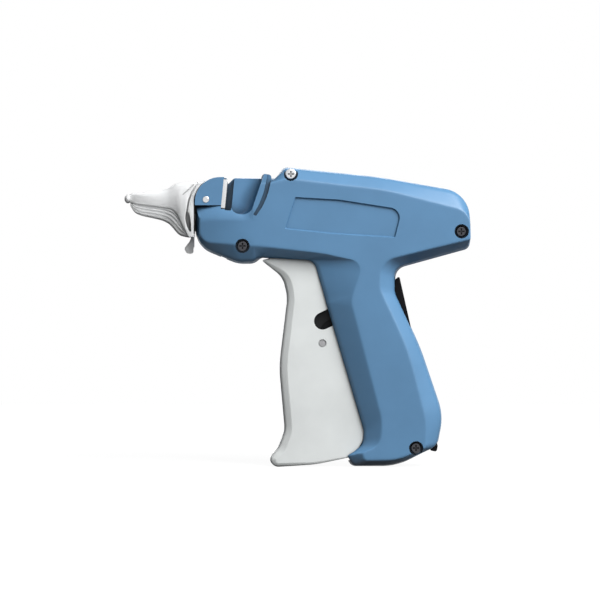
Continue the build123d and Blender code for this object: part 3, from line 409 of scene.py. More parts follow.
def section(outer, inner, core):
    """Points (place, depth) of the casing's profile, from the outline to the flat panel."""
    width = (inner - outer).length
    lean = min(DRAFT, width / 3) * (MOUTH_DRAFT if beside_trigger(outer) else 1)
    corners = ((0.0, 0.0, 0), (lean, shoulder(outer), SHOULDER_R), (width, HALF_WIDTH, CREASE_R),
               (width + CREASE_REACH, HALF_WIDTH, 0))
    arcs = corner_arcs(corners, PROFILE_STEPS, closed=False)
    points = []
    for p in arcs[0] + arcs[1] + arcs[2]:
        if p.x < width:
            points.append((outer.lerp(inner, p.x / width), p.y))
        else:
            points.append((inner.lerp(core, (p.x - width) / CREASE_REACH), p.y))
    return points + [(core, HALF_WIDTH)]


def casing_form():
    """The closed solid of one half of the gun, with soft creases."""
    bm = bmesh.new()
    rings = []
    panel = [s[2] for s in CASING]
    for place in matched_rings([s[1] for s in CASING], panel, inset(panel, CREASE_REACH)):
        rings.append([bm.verts.new((p.x, -depth * half_width(p.x) / HALF_WIDTH, p.y))
                      for p, depth in section(*place)])
    count = len(rings)
    for i in range(count):
        for k in range(len(rings[0]) - 1):
            bm.faces.new((rings[i - 1][k], rings[i][k], rings[i][k + 1], rings[i - 1][k + 1]))
    bm.faces.new([column[0] for column in rings])
    fill_panel(bm, [column[-1] for column in rings])
    return make_object("casing", bm)


def fill_panel(bm, ring):
    """Triangles of the side panel inside its rim, with spare points so that it can curve."""
    rim = [Vector((v.co.x, v.co.z)) for v in ring]
    low = [min(p[i] for p in rim) for i in (0, 1)]
    high = [max(p[i] for p in rim) for i in (0, 1)]
    spare = []
    x = low[0] + PANEL_PITCH
    while x < high[0]:
        z = low[1] + PANEL_PITCH
        while z < high[1]:
            spare.append(Vector((x, z)))
            z += PANEL_PITCH
        x += PANEL_PITCH
    found = geometry.delaunay_2d_cdt(rim + spare, [], [list(range(len(rim)))], 1, 1e-5)
    verts = []
    for place, origins in zip(found[0], found[3]):
        own = [i for i in origins if i < len(ring)]
        if own:
            verts.append(ring[own[0]])
        else:
            verts.append(bm.verts.new((place.x, -half_width(place.x), place.y)))
    for face in found[2]:
        corners = [verts[i] for i in face]
        if len(set(corners)) == 3:
            bm.faces.new(corners)


def bar(start, end, radius, near, far, steps=16):
    """A flat link with round ends."""
    heading = math.atan2(end[1] - start[1], end[0] - start[0])
    points = []
    for centre, side in ((end, -0.5), (start, 0.5)):
        for i in range(steps + 1):
            a = heading + math.pi * (side + i / steps)
            points.append((centre[0] + radius * math.cos(a), centre[1] + radius * math.sin(a)))
    return prism(points, near, far)


def turned(point, centre, angle):
    """A point of the X-Z outline turned about a centre, from +X towards +Z."""
    dx, dz = point[0] - centre[0], point[1] - centre[1]
    c, s = math.cos(math.radians(angle)), math.sin(math.radians(angle))
    return (centre[0] + dx * c - dz * s, centre[1] + dx * s + dz * c)


def lofted(levels):
    """A closed solid through matched outlines: (points, depth) from the deepest out."""
    bm = bmesh.new()
    rings = [[bm.verts.new((p[0], -depth, p[1])) for p in points] for points, depth in levels]
    for low, high in zip(rings, rings[1:]):
        for i in range(len(low)):
            bm.faces.new((low[i - 1], low[i], high[i], high[i - 1]))
    bm.faces.new(rings[0])
    bm.faces.new(rings[-1][::-1])
    return make_object("cutter", bm)


def trigger_room():
    """The room the trigger needs between the side walls while it is squeezed."""
    grown = outline(inset([s[1:] for s in TRIGGER], -SWEEP_PLAY))
    return [prism([turned(p, TRIGGER_PIVOT, TRIGGER_SWING * k / SWEEP_STEPS) for p in grown],
                  -1, TRIGGER_HALF + SWEEP_SIDE + SWEEP_STEP * k) for k in range(SWEEP_STEPS + 1)]


def hollow_out(shell):
    """Hollow a casing as the moulding is: trigger room, slider lane, nose holes, posts."""
    walls = [s for s in CASING if s[0] not in HIDDEN_IN_CAVITY]
    deep = HALF_WIDTH - WALL
    room = prism(outline(inset([s[1] for s in walls], WALL)), -1, SHOULDER - WALL)
    floor = prism(outline(inset([s[2] for s in walls], WALL / 2)), 0, deep)
    combine(room, [floor], "UNION")
    posts = [prism([(-80, 60), (NOSE_REAR, 60), (NOSE_REAR, 160), (-80, 160)], -3, 20)]
    posts += [disc(c, BOSS_R, -3, deep + 1) for c in (SCREWS[0], SCREWS[2], SCREWS[3])]
    posts += [disc(c, HUB_R, TRIGGER_HALF + SIDE_PLAY, deep + 1)
              for c in (TRIGGER_PIVOT, LEVER_PIVOT)]
    combine(room, posts, "DIFFERENCE")
    cuts = [room,
            axis_box(LANE, (-LANE_HALF, LANE_HALF), -1, deep),
            prism(outline(MOUTH), -1, TRIGGER_HALF + SIDE_PLAY),
            axis_box(CHANNEL, (-40, 22), -1, 2.2),
            axis_box((CHANNEL[0], LANE[0] + 1), (-1, 1), -1, 1),
            axis_box((-5, CHANNEL[0]), HUB_HEIGHT, -1, HUB_HALF),
            disc(FEED_CENTRE, FEED_WHEEL_R + 0.5, -1, 2.1),
            disc(FEED_CENTRE, FEED_SHAFT_R, 0, deep - 2),
            prism(outline(inset(STRAP, -0.05)), -1, 3.05)]
    cuts += [disc(c, PIN_R, 0, deep) for c in (TRIGGER_PIVOT, LEVER_PIVOT)]
    cuts += [disc(c, SCREW_R, -1, SCREW_REACH) for c in SCREWS]
    combine(shell, cuts + trigger_room(), "DIFFERENCE")


def make_scoop():
    """The hollow beside the slit, whose floor curves up to its rear wall."""
    levels = []
    for k in range(SCOOP_STEPS + 1):
        a = math.pi / 2 * k / SCOOP_STEPS
        shift, height = SCOOP_ROUND * (1 - math.sin(a)), SCOOP_ROUND * (1 - math.cos(a))
        corners = [(x - shift if i in SCOOP_REAR else x, z, r * (1 - 0.1 * shift))
                   for i, (x, z, r) in enumerate(SCOOP)]
        levels.append((outline(corners), SCOOP_WALL + height))
    levels.append((levels[-1][0], HALF_WIDTH + 3))
    return lofted(levels)


def make_ledge():
    """What the bevelled ledge below the nose block takes off the side panel."""
    bm = bmesh.new()
    rings = []
    rise = LEDGE_HIGH - LEDGE_LOW
    for i in range(LEDGE_STEPS + 1):
        x = (NOSE_FACE - LEDGE_AHEAD
             + (LEDGE_REAR - NOSE_FACE + LEDGE_AHEAD) * i / LEDGE_STEPS)
        share = min(1.0, (LEDGE_REAR - x) / LEDGE_FADE)
        depth = LEDGE_DEPTH * share + LEDGE_LEAST
        panel = -half_width(x) - LEDGE_LIFT * (1 - share)
        profile = ((panel + depth, LEDGE_HIGH), (panel - depth, LEDGE_LOW - rise),
                   (panel - depth, 150), (panel + depth, 150))
        rings.append([bm.verts.new((x, y, z)) for y, z in profile])
    for one, two in zip(rings, rings[1:]):
        for i in range(len(one)):
            bm.faces.new((one[i - 1], one[i], two[i], two[i - 1]))
    bm.faces.new(rings[0])
    bm.faces.new(rings[-1][::-1])
    return make_object("cutter", bm)


def feed_lever_room():
    """The pocket in which the feed lever and the trigger's finger move."""
    far = FINGER_FAR + SIDE_PLAY
    room = [disc(FEED_CENTRE, FEED_HUB_R, FEED_NEAR, far)]
    for share in (0, 0.5, 1):
        pin = turned(FEED_PIN, TRIGGER_PIVOT, TRIGGER_SWING * share)
        room.append(bar(FEED_CENTRE, pin, FINGER_R + FINGER_PLAY, FEED_NEAR, far))
        room.append(bar(TRIGGER_PIVOT, pin, FINGER_R + FINGER_PLAY, FEED_NEAR, far))
    return room


def make_left():
    """The casing with screw heads, label recess, scoop and slit."""
    shell = casing_form()
    combine(shell, [prism(outline(LIP), SCOOP_WALL, HALF_WIDTH - 0.15)], "UNION")
    hollow_out(shell)
    seat_rear = on_axis(CHANNEL[0])[0]
    rims = matched_rings(LABEL, inset(LABEL, LABEL_SLOPE))
    floor, rim = [inner for _, inner in rims], [outer for outer, _ in rims]
    cuts = [lofted([(floor, HALF_WIDTH - LABEL_DEPTH), (rim, HALF_WIDTH), (rim, HALF_WIDTH + 3)]),
            make_scoop(), make_ledge(), prism(NOTCH, -1, HALF_WIDTH + 3),
            prism(outline(GROOVE), HALF_WIDTH - GROOVE_DEPTH, HALF_WIDTH + 3),
            prism([(-60, NOSE_SEAT), (seat_rear + 0.2, NOSE_SEAT), (seat_rear + 1.6, 150),
                   (-60, 150)], -1, HALF_WIDTH + 3),
            axis_box(CHANNEL, (-1.4, 22), -1, HALF_WIDTH + 3),
            axis_box((CHANNEL[0] - 1.9, CHANNEL[0] + 3), (-1.0, 22), -1, HALF_WIDTH)]
    for centre in SCREWS:
        cuts.append(disc(centre, COUNTERBORE_R, HALF_WIDTH - SCREW_SINK, HALF_WIDTH + 3))
    combine(shell, cuts + feed_lever_room(), "DIFFERENCE")
    shell.name = "left_shell"
    return shell


def make_right():
    """The plain casing on the far side."""
    shell = casing_form()
    hollow_out(shell)
    combine(shell, [prism(NOTCH, -1, HALF_WIDTH + 3)], "DIFFERENCE")
    for vert in shell.data.vertices:
        vert.co.y = -vert.co.y
    shell.data.flip_normals()
    shell.name = "right_shell"
    return shell


# ---------------------------------------------------------------- trigger
def trigger_section(outer, inner):
    """The trigger's profile at one station: a rounded bevel from the outer to the inner outline."""
    width = (inner - outer).length
    edge, crease = FINGER_EDGE * width, FINGER_CREASE * width
    corners = ((0.0, 0.0, 0), (0.0, TRIGGER_HALF - FINGER_SLOPE * width, edge),
               (FINGER_REACH * width, TRIGGER_HALF, crease), (3 * width, TRIGGER_HALF, 0))
    flat = corner_arcs(corners, PROFILE_STEPS, closed=False)
    return [(p.x / width, p.y) for p in flat[0] + flat[1] + flat[2]]


def trigger_corners(distance):
    """The trigger's outline moved in, most of all on the finger side."""
    corners = [s[1:] for s in TRIGGER]
    return [inset(corners, distance * FINGER_SHARES.get(s[0], OTHER_SHARE))[i]
            for i, s in enumerate(TRIGGER)]


def make_trigger():
    """Channel-shaped trigger with a rounded finger side."""
    outer_corners = [s[1:] for s in TRIGGER]
    bm = bmesh.new()
    sides = []
    for side in (-1, 1):
        rings = []
        for outer, inner in matched_rings(outer_corners, trigger_corners(FINGER_ROUND)):
            column = []
            for share, depth in trigger_section(outer, inner):
                p = outer.lerp(inner, share)
                column.append(bm.verts.new((p.x, side * depth, p.y)))
            rings.append(column)
        for i in range(len(rings)):
            for k in range(len(rings[0]) - 1):
                bm.faces.new((rings[i - 1][k], rings[i][k], rings[i][k + 1], rings[i - 1][k + 1]))
        bm.faces.new([column[-1] for column in rings])
        sides.append(rings)
    body = make_object("trigger_shell", bm)
    inner = TRIGGER_HALF - 2.0
    inside = [s[1:] for s in TRIGGER if s[0] not in HIDDEN_IN_TRIGGER]
    room = outline(inset(inside, 3.0))
    cuts = [prism([(p[0] + shift, p[1]) for p in room], -inner, inner) for shift in (0, 6, 12)]
    for drop in (6, 20):
        lever_side = (TRIGGER_PIVOT[0] + 12, TRIGGER_PIVOT[1] - drop)
        cuts.append(bar(TRIGGER_PIVOT, lever_side, HUB_R + 1.2, 0.05 - inner, inner - 0.05))
    slot_ends = [turned(LEVER_PIVOT, TRIGGER_PIVOT, -TRIGGER_SWING * t)
                 for t in (-0.6, -0.2, 0.2, 0.6, 1.0)]
    for start, end in zip(slot_ends, slot_ends[1:]):
        cuts.append(bar(start, end, SLOT_R, -TRIGGER_HALF - 1, TRIGGER_HALF + 1))
    for centre, radius in ((TRIGGER_PIVOT, PIVOT_BORE_R), (DRIVE_PIN, DRIVE_BORE_R)):
        cuts.append(disc(centre, radius, -TRIGGER_HALF - 1, TRIGGER_HALF + 1))
    for near, far in ((TRIGGER_HALF - PIN_RING_DEPTH, TRIGGER_HALF + 1),
                      (-TRIGGER_HALF - 1, PIN_RING_DEPTH - TRIGGER_HALF)):
        cuts.append(disc(DRIVE_PIN, PIN_RING_R, near, far))
    combine(body, cuts, "DIFFERENCE")
    arm = bar(TRIGGER_PIVOT, FEED_PIN, FINGER_R, FINGER_NEAR, FINGER_FAR)
    hub = disc(TRIGGER_PIVOT, HUB_R, FINGER_NEAR, inner + 0.5)
    holes = [disc(TRIGGER_PIVOT, PIVOT_BORE_R, -1, 8), disc(FEED_PIN, FEED_PIN_BORE_R, -1, 8)]
    combine(body, [arm, hub], "UNION")
    combine(body, holes, "DIFFERENCE")
    return body


# ---------------------------------------------------------------- cap
def cap_value(points, x):
    """Height of a side-view line at x, by straight runs."""
    if x <= points[0][0]:
        return points[0][1]
    for (x0, z0), (x1, z1) in zip(points, points[1:]):
        if x <= x1:
            return z0 + (z1 - z0) * (x - x0) / (x1 - x0)
    return points[-1][1]


def smooth_line(points, pitch=0.5):
    """A Catmull-Rom line through (x, z) points, as close points in order of x."""
    line = []
    for i in range(len(points) - 1):
        a = Vector(points[max(i - 1, 0)])
        b, c = Vector(points[i]), Vector(points[i + 1])
        d = Vector(points[min(i + 2, len(points) - 1)])
        steps = max(2, round((c - b).length / pitch))
        for k in range(steps):
            t = k / steps
            line.append(0.5 * (2 * b + (c - a) * t + (2 * a - 5 * b + 4 * c - d) * t * t
                               + (3 * b - a - 3 * c + d) * t ** 3))
    line.append(Vector(points[-1]))
    return [(p.x, p.y) for p in line]


CAP_TOP = smooth_line(((-80.4, 130.0), (-78.7, 130.9), (-70.6, 131.8), (-65.8, 132.2),
                       (-62.0, 133.3), (-59.5, 134.8), (-57.1, 135.7), (-51.4, 136.4),
                       (-43.0, 136.9)))
CAP_HEM = smooth_line(((-80.4, 126.9), (-75.4, 125.6), (-66.0, 124.4), (-60.6, 123.5),
                       (-58.1, 122.0), (-56.2, 119.2), (-54.2, 115.0), (-52.3, 111.2),
                       (-51.0, 109.9), (-43.0, 109.9)))
CAP_HALF = smooth_line(((-80.4, 1.6), (-78.0, 2.2), (-70.0, 3.3), (-63.0, 4.5), (-58.6, 6.2),
                        (-55.2, 8.0), (-51.0, 9.3), (-43.0, 9.8)))
KEEL_LOW = smooth_line(((-79.9, 124.8), (-79.2, 123.6), (-77.6, 121.5), (-74.4, 120.1),
                        (-65.8, 118.1), (-61.9, 116.4), (-60.0, 114.7), (-58.1, 112.5),
                        (-56.2, 110.7), (-53.4, 109.9), (-51.8, 109.7)))
KEEL_HALF = smooth_line(((-79.9, 1.3), (-77.6, 2.0), (-70.0, 3.0), (-63.0, 4.2), (-58.0, 6.2),
                         (-54.0, 7.9), (-51.8, 8.7)))
CAP_HEM_LIFTED = [(x, z + CAP_HEM_LIFT) for x, z in CAP_HEM]


def arch_loft(top, low, half, start, end, pitch, ribs=0, rib_depth=0.0, upward=True, power=2.2):
    """A long solid whose sections are half ovals standing on, or hanging from, a flat.

    The higher the power, the squarer the oval; the ribs run along it.
    """
    bm = bmesh.new()
    rings = []
    count = max(2, round((end - start) / pitch))
    for i in range(count + 1):
        x = start + (end - start) * i / count
        z0, z1, w = cap_value(low, x), cap_value(top, x), cap_value(half, x)
        ring = []
        for k in range(ARCH_STEPS + 1):
            across, up = math.cos(math.pi * k / ARCH_STEPS), math.sin(math.pi * k / ARCH_STEPS)
            reach = (abs(across) ** power + abs(up) ** power) ** (-1 / power)
            reach *= 1 - rib_depth * (0.5 - 0.5 * math.cos(2 * math.pi * ribs * k / ARCH_STEPS))
            y = -w * reach * across
            rise = abs(z1 - z0) * reach * up
            ring.append(bm.verts.new((x, y, z0 + rise if upward else z1 - rise)))
        rings.append(ring)
    for one, two in zip(rings, rings[1:]):
        for k in range(-1, ARCH_STEPS):
            bm.faces.new((one[k], one[k + 1], two[k + 1], two[k]))
    bm.faces.new(rings[0])
    bm.faces.new(rings[-1][::-1])
    return make_object("loft", bm)


def ball(centre, radii, name="ball"):
    """An oval ball."""
    bm = bmesh.new()
    bmesh.ops.create_uvsphere(bm, u_segments=24, v_segments=16, radius=1)
    bmesh.ops.scale(bm, vec=radii, verts=bm.verts)
    bmesh.ops.translate(bm, vec=(centre[0], 0, centre[1]), verts=bm.verts)
    return make_object(name, bm)


def make_lock():
    """Teardrop tab on a stem."""
    tab = prism(outline(LOCK_TAB), -0.95, 0.95)
    bm = bmesh.new()
    bmesh.ops.create_cone(bm, cap_ends=True, segments=24, radius1=LOCK_STEM_R,
                          radius2=LOCK_STEM_R, depth=LOCK_TOP - LOCK_LOW)
    bmesh.ops.translate(bm, vec=(LOCK_AT, 0, (LOCK_TOP + LOCK_LOW) / 2), verts=bm.verts)
    stem = make_object("stem", bm)
    combine(tab, [stem], "UNION")
    tab.name = "lock_shell"
    return tab


def skin_cutter(points, depth):
    """What a side-view outline takes off the cap's skin, down to a depth below it."""
    cutter = prism(points, -14, 14)
    kept = arch_loft([(x, z - depth) for x, z in CAP_TOP], [(x, z - 4) for x, z in CAP_HEM],
                     [(x, w - depth) for x, w in CAP_HALF], -62.0, -42.0, 0.8)
    combine(cutter, [kept], "DIFFERENCE")
    return cutter


def make_cap():
    """The cover over the needle: arched body, ribbed keel under its hem, ball tip, collar."""
    cap = arch_loft(CAP_TOP, CAP_HEM, CAP_HALF, -80.4, -43.0, 0.4)
    keel = arch_loft(CAP_HEM_LIFTED, KEEL_LOW, KEEL_HALF, -79.9, -51.8, 0.4, ribs=CAP_RIBS,
                     rib_depth=0.06, upward=False, power=KEEL_POWER)
    tip = ball((-81.1, 128.2), (1.7, 2.0, 2.15))
    combine(cap, [keel, tip], "UNION")
    grooves = [skin_cutter(line, depth) for line, depth in CAP_GROOVES]
    grooves.append(prism(CAP_WINDOW, 4, 14))
    combine(cap, grooves, "DIFFERENCE")
    hollow = arch_loft([(x, z - CAP_WALL) for x, z in CAP_TOP],
                       [(x, z + CAP_WALL) for x, z in CAP_HEM],
                       [(x, w - CAP_WALL) for x, w in CAP_HALF], -58.6, -40.0, 0.8)
    nose = [s[1] for s in CASING]
    corner = inset(nose, -CAP_GAP)[0]
    behind = prism(outline(((corner[0], 90, 0.5), corner, (10, corner[1], 0.5), (10, 90, 0.5)), 16),
                   -20, 20)
    bore = axis_box((-30, 0), (-1.6, 1.6), -1.6, 1.6)
    notch = prism([(LOCK_AT - 3, 102), (LOCK_AT + 3, 102), (LOCK_AT + 3, 114),
                   (LOCK_AT - 3, 114)], -1.6, 1.6)
    combine(cap, [hollow, behind, bore, notch], "DIFFERENCE")
    cap.name = "cap_shell"
    return cap


left_shell = make_left()
right_shell = make_right()
cap_shell = make_cap()
trigger_shell = make_trigger()
lock_shell = make_lock()
for shell in (left_shell, right_shell, cap_shell, trigger_shell):
    mend(shell)
soften(lock_shell, 0.45)
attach(lock_shell, "needle_lock")
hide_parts("needle_lock")
for shell, node, body in ((left_shell, "left_casing", "housing"),
                          (right_shell, "right_casing", "housing"),
                          (cap_shell, "needle_cap", "needle_cap"),
                          (trigger_shell, "trigger", "trigger")):
    soften(shell, 0.3)
    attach(shell, body)
    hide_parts(node)


# ---------------------------------------------------------------- materials
SHADE_FULL_AT = 0.35         # openness at which a corner gets the full painted shade
SHADE_NONE_AT = 0.92         # and at which a face gets no painted shade
UNSHADED_SCREW_FROM = 0.130      # height in metres above which a screw keeps its plain steel colour; lower ones get painted shade
CORNER_SHADE = 0.35             # painted shade: a corner's colour over the face's
CORNER_SHADE_REACH = 0.0018     # painted shade: how near the walls of a tight corner are, in metres


def new_material(name):
    """A material with its shader and node tree."""
    material = bpy.data.materials.new(name)
    material.use_nodes = True
    return material, material.node_tree, material.node_tree.nodes["Principled BSDF"]


def noise(tree, scale, detail, stretch=(1, 1, 1)):
    """Noise fixed to the piece, in its own metres."""
    place = tree.nodes.new("ShaderNodeTexCoord")
    mapping = tree.nodes.new("ShaderNodeMapping")
    mapping.inputs["Scale"].default_value = stretch
    texture = tree.nodes.new("ShaderNodeTexNoise")
    texture.inputs["Scale"].default_value = scale
    texture.inputs["Detail"].default_value = detail
    tree.links.new(place.outputs["Object"], mapping.inputs["Vector"])
    tree.links.new(mapping.outputs["Vector"], texture.inputs["Vector"])
    return texture.outputs["Fac"]


def ramp(tree, value, low, high):
    """A noise value spread between two numbers."""
    node = tree.nodes.new("ShaderNodeMapRange")
    node.inputs["From Min"].default_value = 0.3
    node.inputs["From Max"].default_value = 0.7
    node.inputs["To Min"].default_value = low
    node.inputs["To Max"].default_value = high
    tree.links.new(value, node.inputs["Value"])
    return node.outputs["Result"]


def relief(tree, shader, value, depth):
    """Fine surface grain."""
    bump = tree.nodes.new("ShaderNodeBump")
    bump.inputs["Strength"].default_value = 0.35
    bump.inputs["Distance"].default_value = depth
    tree.links.new(value, bump.inputs["Height"])
    tree.links.new(bump.outputs["Normal"], shader.inputs["Normal"])


def blend(tree, factor, first, second, way="MIX"):
    """Two colours, each a constant or a socket, mixed by a socket or a constant."""
    mix = tree.nodes.new("ShaderNodeMix")
    mix.data_type = "RGBA"
    mix.blend_type = way
    for key, value in ((0, factor), (6, first), (7, second)):
        if isinstance(value, bpy.types.NodeSocket):
            tree.links.new(value, mix.inputs[key])
        else:
            mix.inputs[key].default_value = value
    return mix.outputs[2]


def tinted(tree, shader, colour, value, spread, shade_share=CORNER_SHADE, reach=CORNER_SHADE_REACH):
    """The base colour, a little uneven from place to place, and darkened in tight corners with
    painted shade.
    """
    low = (*[c * (1 - spread) for c in colour], 1)
    high = (*[min(1, c * (1 + spread)) for c in colour], 1)
    skin = blend(tree, ramp(tree, value, 0, 1), low, high)
    # painted shade: ambient occlusion darkens the colour where walls close in
    hollow = tree.nodes.new("ShaderNodeAmbientOcclusion")
    hollow.samples = 8
    hollow.inputs["Distance"].default_value = reach
    spread_out = tree.nodes.new("ShaderNodeMapRange")
    spread_out.inputs["From Min"].default_value = SHADE_FULL_AT
    spread_out.inputs["From Max"].default_value = SHADE_NONE_AT
    tree.links.new(hollow.outputs["AO"], spread_out.inputs["Value"])
    shade_colour = (*[c * shade_share for c in colour], 1)
    skin = blend(tree, spread_out.outputs["Result"], shade_colour, skin)
    tree.links.new(skin, shader.inputs["Base Color"])


def moulded(name, colour, roughness, specular=0.35, grain=0.00002, spread=0.05, shade_share=CORNER_SHADE,
            reach=CORNER_SHADE_REACH):
    """Moulded plastic with a fine spark-eroded grain and slightly uneven gloss."""
    material, tree, shader = new_material(name)
    edge = tree.nodes.new("ShaderNodeLayerWeight")
    sheen = tree.nodes.new("ShaderNodeMapRange")
    sheen.inputs["From Min"].default_value = 0.22
    sheen.inputs["From Max"].default_value = 0.55
    sheen.inputs["To Min"].default_value = specular
    sheen.inputs["To Max"].default_value = specular * 0.08
    tree.links.new(edge.outputs["Facing"], sheen.inputs["Value"])
    tree.links.new(sheen.outputs["Result"], shader.inputs["Specular IOR Level"])
    tinted(tree, shader, colour, noise(tree, 55, 3), spread, shade_share, reach)
    gloss = ramp(tree, noise(tree, 160, 4), roughness - 0.05, roughness + 0.06)
    tree.links.new(gloss, shader.inputs["Roughness"])
    relief(tree, shader, noise(tree, 2600, 2), grain)
    return material


def metal(name, colour, roughness, stretch):
    """Drawn or ground steel: the finish runs one way."""
    material, tree, shader = new_material(name)
    shader.inputs["Metallic"].default_value = 1
    # painted shade darkens the steel's tight corners, such as the screws' cross recesses
    tinted(tree, shader, colour, noise(tree, 90, 3), 0.04, shade_share=0.12, reach=0.0012)
    gloss = ramp(tree, noise(tree, 700, 4, stretch), roughness - 0.07, roughness + 0.09)
    tree.links.new(gloss, shader.inputs["Roughness"])
    relief(tree, shader, noise(tree, 1500, 2, stretch), 0.000008)
    return material


def screw_steel():
    """Screws: the one by the top edge in plain steel, the others darkened by height with painted
    shade.
    """
    material = metal("screw_steel", (0.62, 0.63, 0.64), 0.30, (1, 1, 1))
    tree = material.node_tree
    shader = tree.nodes["Principled BSDF"]
    skin = shader.inputs["Base Color"].links[0].from_socket
    place = tree.nodes.new("ShaderNodeTexCoord")
    parts = tree.nodes.new("ShaderNodeSeparateXYZ")
    tree.links.new(place.outputs["Object"], parts.inputs["Vector"])
    high = tree.nodes.new("ShaderNodeMapRange")
    high.inputs["From Min"].default_value = UNSHADED_SCREW_FROM - 10 * MM
    high.inputs["From Max"].default_value = UNSHADED_SCREW_FROM
    tree.links.new(parts.outputs["Z"], high.inputs["Value"])
    # painted shade: screws lower than the top one are darkened to about a ninth, as if in shadow
    shaded_steel = blend(tree, 1.0, skin, (0.11, 0.11, 0.12, 1), "MULTIPLY")
    tree.links.new(blend(tree, high.outputs["Result"], shaded_steel, skin), shader.inputs["Base Color"])
    return material


# The plastics darken their tight corners with painted shade; on the blue it reaches wider, into the
# scoop and counterbores.
blue = moulded("blue_plastic", (0.088, 0.205, 0.355), 0.40, specular=0.4, shade_share=0.25, reach=0.006)
grey = moulded("grey_plastic", (0.665, 0.69, 0.685), 0.45, shade_share=0.5)
clear = moulded("cap_plastic", (0.70, 0.71, 0.715), 0.38, grain=0.000008, shade_share=0.75)
glow = clear.node_tree.nodes["Principled BSDF"]
glow.inputs["Subsurface Weight"].default_value = 0.7
glow.inputs["Subsurface Radius"].default_value = (1.0, 1.0, 1.0)
glow.inputs["Subsurface Scale"].default_value = 0.006
dark = moulded("dark_plastic", (0.016, 0.017, 0.019), 0.5, specular=0.2)
rubber = moulded("black_rubber", (0.006, 0.006, 0.007), 0.6, specular=0.06, grain=0.00004)
steel = metal("ground_steel", (0.66, 0.67, 0.68), 0.24, (1, 1, 0.08))
zinc = metal("zinc_plated_steel", (0.34, 0.34, 0.35), 0.30, (1, 1, 1))
screw = screw_steel()
for shell, material, slot in ((left_shell, blue, "blue_casing"), (right_shell, blue, "blue_casing"),
                              (cap_shell, clear, "cap_plastic"),
                              (lock_shell, clear, "cap_plastic"),
                              (trigger_shell, grey, "grey_plastic")):
    shell.data.materials.clear()
    shell.data.materials.append(material)
FINISH = {
    "right_casing": blue, "nose_block": blue, "trigger": grey, "needle_cap": clear,
    "needle_lock": clear, "back_strap": rubber, "main_lever": dark, "needle_hub": dark,
    "feed_wheel": dark, "feed_lever": dark, "slider": dark, "slider_bumper": rubber,
    "casing_screws": screw, "nose_pin": steel, "drive_pin": zinc,
}
EDGES = {"nose_block": 0.35, "cutter_plate": 0.12, "back_strap": 0.4}
for name, node in nodes.items():
    for place in node.material_slots:
        place.material = FINISH.get(name, steel)
    if name in EDGES:
        bevel = node.modifiers.new("edges", "BEVEL")
        bevel.width = EDGES[name] * MM
        bevel.segments = 3
        bevel.limit_method = "ANGLE"
        bevel.angle_limit = math.radians(40)
        bevel.harden_normals = True


# ---------------------------------------------------------------- camera, light, background
PIXEL = 0.48 * MM          # size of one pixel of a 600-pixel-wide view at the object
VIEW_WIDTH = 600 * PIXEL
EYE_DISTANCE = 1.2
VIEW_CENTRE = 300          # pixels
ORIGIN_AT = (297, 466)     # where the view shows the gun's origin, in pixels
EYE = ((VIEW_CENTRE - ORIGIN_AT[0]) * PIXEL, -EYE_DISTANCE, (ORIGIN_AT[1] - VIEW_CENTRE) * PIXEL)
SENSOR = 36.0
FILL_LIGHT = 0.04        # strength of the world as a light
FLOOR_HALF = 700.0
FLOOR_GLOW = 0.95        # of white, as the camera sees it
LAMPS = (                # name, place in metres, watts, size in metres
    ("key", (0.70, -0.58, 0.95), 26, 0.7),
    ("front", (0.40, -1.00, 0.85), 8.5, 1.0),
    ("rear", (-0.30, 1.40, 0.25), 10.0, 1.0),
)


def make_camera():
    """Straight side view."""
    data = bpy.data.cameras.new("camera")
    data.sensor_width = SENSOR
    data.lens = SENSOR * EYE_DISTANCE / VIEW_WIDTH
    camera = bpy.data.objects.new("camera", data)
    camera.location = EYE
    camera.rotation_euler = (math.radians(90), 0, 0)
    bpy.context.scene.collection.objects.link(camera)
    bpy.context.scene.camera = camera


def make_lamp(name, place, power, size, target=(0.01, 0.0, 0.08)):
    """A square soft light aimed at the gun."""
    data = bpy.data.lights.new(name, "AREA")
    data.energy = power
    data.size = size
    lamp = bpy.data.objects.new(name, data)
    lamp.location = place
    aim = Vector(target) - Vector(place)
    lamp.rotation_euler = aim.to_track_quat("-Z", "Y").to_euler()
    bpy.context.scene.collection.objects.link(lamp)


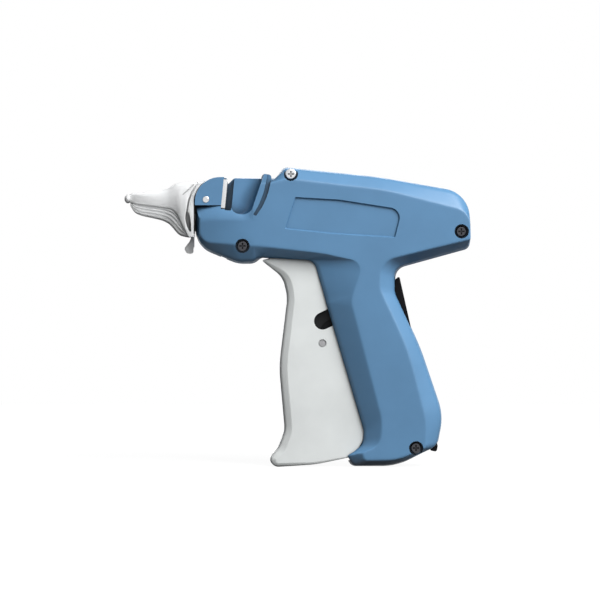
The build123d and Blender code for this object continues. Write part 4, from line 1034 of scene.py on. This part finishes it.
def seen_rays(tree):
    """1 for rays from the camera, off metal and through clear pieces, else 0."""
    path = tree.nodes.new("ShaderNodeLightPath")
    value = path.outputs["Is Camera Ray"]
    for other in ("Is Glossy Ray", "Is Transmission Ray"):
        larger = tree.nodes.new("ShaderNodeMath")
        larger.operation = "MAXIMUM"
        tree.links.new(value, larger.inputs[0])
        tree.links.new(path.outputs[other], larger.inputs[1])
        value = larger.outputs[0]
    return value


def make_world():
    """White to the camera and in reflections, dim as a light."""
    world = bpy.data.worlds.new("studio")
    bpy.context.scene.world = world
    world.use_nodes = True
    tree = world.node_tree
    tree.nodes.clear()
    out = tree.nodes.new("ShaderNodeOutputWorld")
    seen = tree.nodes.new("ShaderNodeBackground")
    seen.inputs["Color"].default_value = (1, 1, 1, 1)
    fill = tree.nodes.new("ShaderNodeBackground")
    fill.inputs["Color"].default_value = (0.85, 0.90, 1.0, 1)
    fill.inputs["Strength"].default_value = FILL_LIGHT
    mix = tree.nodes.new("ShaderNodeMixShader")
    tree.links.new(seen_rays(tree), mix.inputs["Fac"])
    tree.links.new(fill.outputs[0], mix.inputs[1])
    tree.links.new(seen.outputs[0], mix.inputs[2])
    tree.links.new(mix.outputs[0], out.inputs["Surface"])


def make_floor():
    """A pale floor that shows white where it is lit and keeps a faint shadow."""
    bm = bmesh.new()
    corners = ((-1, -1), (1, -1), (1, 1), (-1, 1))
    bm.faces.new([bm.verts.new((FLOOR_HALF * x, FLOOR_HALF * y, 0)) for x, y in corners])
    floor = make_object("floor", bm)
    material = bpy.data.materials.new("floor_paint")
    material.use_nodes = True
    tree = material.node_tree
    shader = tree.nodes["Principled BSDF"]
    shader.inputs["Roughness"].default_value = 0.9
    shader.inputs["Specular IOR Level"].default_value = 0.0
    shader.inputs["Emission Color"].default_value = (1, 1, 1, 1)
    # painted shade darkens the floor's own colour close under the gun
    tinted(tree, shader, (0.07, 0.07, 0.07), noise(tree, 30, 2), 0.02)
    glow = tree.nodes.new("ShaderNodeMath")
    glow.operation = "MULTIPLY"
    glow.inputs[1].default_value = FLOOR_GLOW
    tree.links.new(seen_rays(tree), glow.inputs[0])
    tree.links.new(glow.outputs[0], shader.inputs["Emission Strength"])
    floor.data.materials.append(material)


make_camera()
make_world()
make_floor()
for lamp in LAMPS:
    make_lamp(*lamp)
bpy.context.scene.view_settings.view_transform = "Standard"
